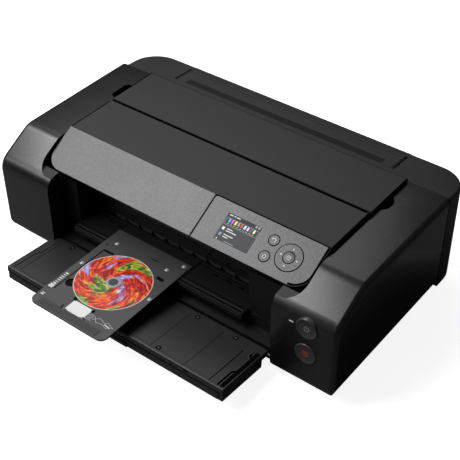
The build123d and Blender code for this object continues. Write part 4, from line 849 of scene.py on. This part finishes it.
def makeGuideLines(v):
    bm = bmesh.new()
    front = -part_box("tray_guide")[0][1] / mm
    for z, width, tint in v["fronts"]:
        addBar(bm, (v["left"], z), (v["right"], z), width, front - 0.1, front + 0.06, tint)
    layOn(bm, "guideFrontLines", frontFace, paintedShadeAndHighlight, bodyOf["tray_guide"])
    bm = bmesh.new()
    level = v["level"]
    for left, right in v["clear"]:
        for y, width, tint in v["tops"]:
            addBar(bm, (left, y), (right, y), width, level - 0.1, level + 0.06, tint)
    for x in v["slots"]:
        addBar(bm, (x, v["slotRow"]), (x + 11, v["slotRow"]), 2.2, level - 0.1, level + 0.08, v["shadeTint"])
    layOn(bm, "guideTopLines", discFace, paintedShadeAndHighlight, bodyOf["tray_guide"])


def makeLipLines(v):
    bm = bmesh.new()
    front = v["front"]
    for z, width, tint in v["lips"]:
        addBar(bm, (v["left"], z), (v["right"], z), width, front - 0.1, front + 0.06, tint)
    for start, end, width in v["marks"]:
        addBar(bm, start, end, width, front - 0.1, front + 0.07, v["shadeTint"])
    upright = trayFace @ Matrix.Rotation(radians(90), 4, "X")
    layOn(bm, "trayFrontLines", upright, paintedShadeAndHighlight, bodyOf["output_tray"])


makeFeedLines(darkLines)
makeLidGapLines(darkLines)
makeLidLines(darkLines)
makePanelSeam(darkLines)
makeGuideLines(guideLines)
makeLipLines(lipLines)
print("tray prints made")

# The disc's print: swirled warm strokes with a few cool patches, a pale rim and a grey hub
discPrint = {
    "centre": (-0.045, -0.159), "hub": 0.0115, "rim": 0.0588, "swirl": 26, "strokeSize": 75,
    "cellSize": 210, "patchSize": 22, "grey": (0.32, 0.32, 0.33), "pale": (0.62, 0.58, 0.55),
    "shares": (("green", 0.56, 0.6), ("blue", 0.43, 0.39)),
    "warm": ((0.0, (0.02, 0.003, 0.003)), (0.36, (0.24, 0.006, 0.008)), (0.51, (0.68, 0.018, 0.01)),
             (0.65, (0.84, 0.1, 0.01)), (0.8, (0.9, 0.32, 0.015)), (0.95, (0.95, 0.6, 0.08))),
    "green": ((0.0, (0.006, 0.02, 0.01)), (0.35, (0.02, 0.12, 0.03)), (0.55, (0.3, 0.36, 0.03)),
              (0.8, (0.78, 0.74, 0.08))),
    "blue": ((0.0, (0.06, 0.01, 0.03)), (0.35, (0.4, 0.05, 0.12)), (0.55, (0.3, 0.34, 0.7)),
             (0.8, (0.6, 0.66, 0.92))),
}


def rampOf(tree, stops, source):
    ramp = tree.nodes.new("ShaderNodeValToRGB")
    marks = ramp.color_ramp.elements
    while len(marks) < len(stops):
        marks.new(1.0)
    for mark, (where, color) in zip(marks, stops):
        mark.position = where
    for mark, (where, color) in zip(marks, stops):
        mark.color = (*color, 1)
    tree.links.new(source, ramp.inputs["Fac"])
    return ramp.outputs["Color"]


def mixOf(tree, a, b, factor):
    mix = tree.nodes.new("ShaderNodeMix")
    mix.data_type = "RGBA"
    for label, value in (("A", a), ("B", b)):
        if isinstance(value, tuple):
            mix.inputs[label].default_value = (*value, 1)
        else:
            tree.links.new(value, mix.inputs[label])
    tree.links.new(factor, mix.inputs["Factor"])
    return mix.outputs["Result"]


def makeDiscPrint(v):
    mat, tree, shader = newMaterial("discPrint")
    centred = tree.nodes.new("ShaderNodeMapping")
    centred.inputs["Location"].default_value = (-v["centre"][0], -v["centre"][1], 0)
    tree.links.new(placeOf(tree), centred.inputs["Vector"])
    flat = tree.nodes.new("ShaderNodeVectorMath")
    flat.operation = "MULTIPLY"
    flat.inputs[1].default_value = (1, 1, 0)
    tree.links.new(centred.outputs["Vector"], flat.inputs[0])
    far = tree.nodes.new("ShaderNodeVectorMath")
    far.operation = "LENGTH"
    tree.links.new(flat.outputs["Vector"], far.inputs[0])
    r = far.outputs["Value"]
    swirl = tree.nodes.new("ShaderNodeVectorRotate")
    swirl.rotation_type = "Z_AXIS"
    tree.links.new(flat.outputs["Vector"], swirl.inputs["Vector"])
    tree.links.new(mathNode(tree, "MULTIPLY", r, v["swirl"]), swirl.inputs["Angle"])
    strokes = tree.nodes.new("ShaderNodeTexNoise")
    strokes.inputs["Scale"].default_value = v["strokeSize"]
    strokes.inputs["Detail"].default_value = 6
    strokes.inputs["Roughness"].default_value = 0.72
    strokes.inputs["Distortion"].default_value = 1.1
    tree.links.new(swirl.outputs["Vector"], strokes.inputs["Vector"])
    cells = tree.nodes.new("ShaderNodeTexVoronoi")
    cells.inputs["Scale"].default_value = v["cellSize"]
    tree.links.new(swirl.outputs["Vector"], cells.inputs["Vector"])
    spread = mathNode(tree, "MULTIPLY_ADD", strokes.outputs["Fac"], 2.1, -0.72)
    level = mathNode(tree, "MULTIPLY_ADD", cells.outputs["Distance"], 0.28, spread)
    patches = tree.nodes.new("ShaderNodeTexNoise")
    patches.inputs["Scale"].default_value = v["patchSize"]
    patches.inputs["Detail"].default_value = 1
    tree.links.new(swirl.outputs["Vector"], patches.inputs["Vector"])
    color = rampOf(tree, v["warm"], level)
    for name, low, high in v["shares"]:
        share = tree.nodes.new("ShaderNodeMapRange")
        share.inputs["From Min"].default_value = low
        share.inputs["From Max"].default_value = high
        tree.links.new(patches.outputs["Fac"], share.inputs["Value"])
        color = mixOf(tree, color, rampOf(tree, v[name], level), share.outputs["Result"])
    color = mixOf(tree, v["grey"], color, mathNode(tree, "GREATER_THAN", r, v["hub"]))
    color = mixOf(tree, color, v["pale"], mathNode(tree, "GREATER_THAN", r, v["rim"]))
    tree.links.new(color, shader.inputs["Base Color"])
    shader.inputs["Roughness"].default_value = 0.35
    slots = frame["nodes"]["disc"].data.materials
    for k in range(len(slots)):
        slots[k] = mat


makeDiscPrint(discPrint)
print("disc printed")

# Floor: pale to the camera, and dim in what the dark plastic mirrors
floorLook = {"color": 0.8, "mirrored": 0.12, "glow": 0.88, "rough": 0.7, "reach": 12}


def makeFloor(v):
    mat, tree, shader = newMaterial("paleFloor")
    path = tree.nodes.new("ShaderNodeLightPath")
    mix = tree.nodes.new("ShaderNodeMix")
    mix.data_type = "RGBA"
    mix.inputs["A"].default_value = (v["mirrored"],) * 3 + (1,)
    mix.inputs["B"].default_value = (v["color"],) * 3 + (1,)
    tree.links.new(path.outputs["Is Camera Ray"], mix.inputs["Factor"])
    tree.links.new(mix.outputs["Result"], shader.inputs["Base Color"])
    glow = mathNode(tree, "MULTIPLY", path.outputs["Is Camera Ray"], v["glow"])
    tree.links.new(glow, shader.inputs["Emission Strength"])
    shader.inputs["Emission Color"].default_value = (1, 1, 1, 1)
    shader.inputs["Roughness"].default_value = v["rough"]
    bm = bmesh.new()
    bmesh.ops.create_grid(bm, x_segments=1, y_segments=1, size=v["reach"])
    mesh = bpy.data.meshes.new("floor")
    bm.to_mesh(mesh)
    bm.free()
    link(mesh, "floor", mat)


makeFloor(floorLook)
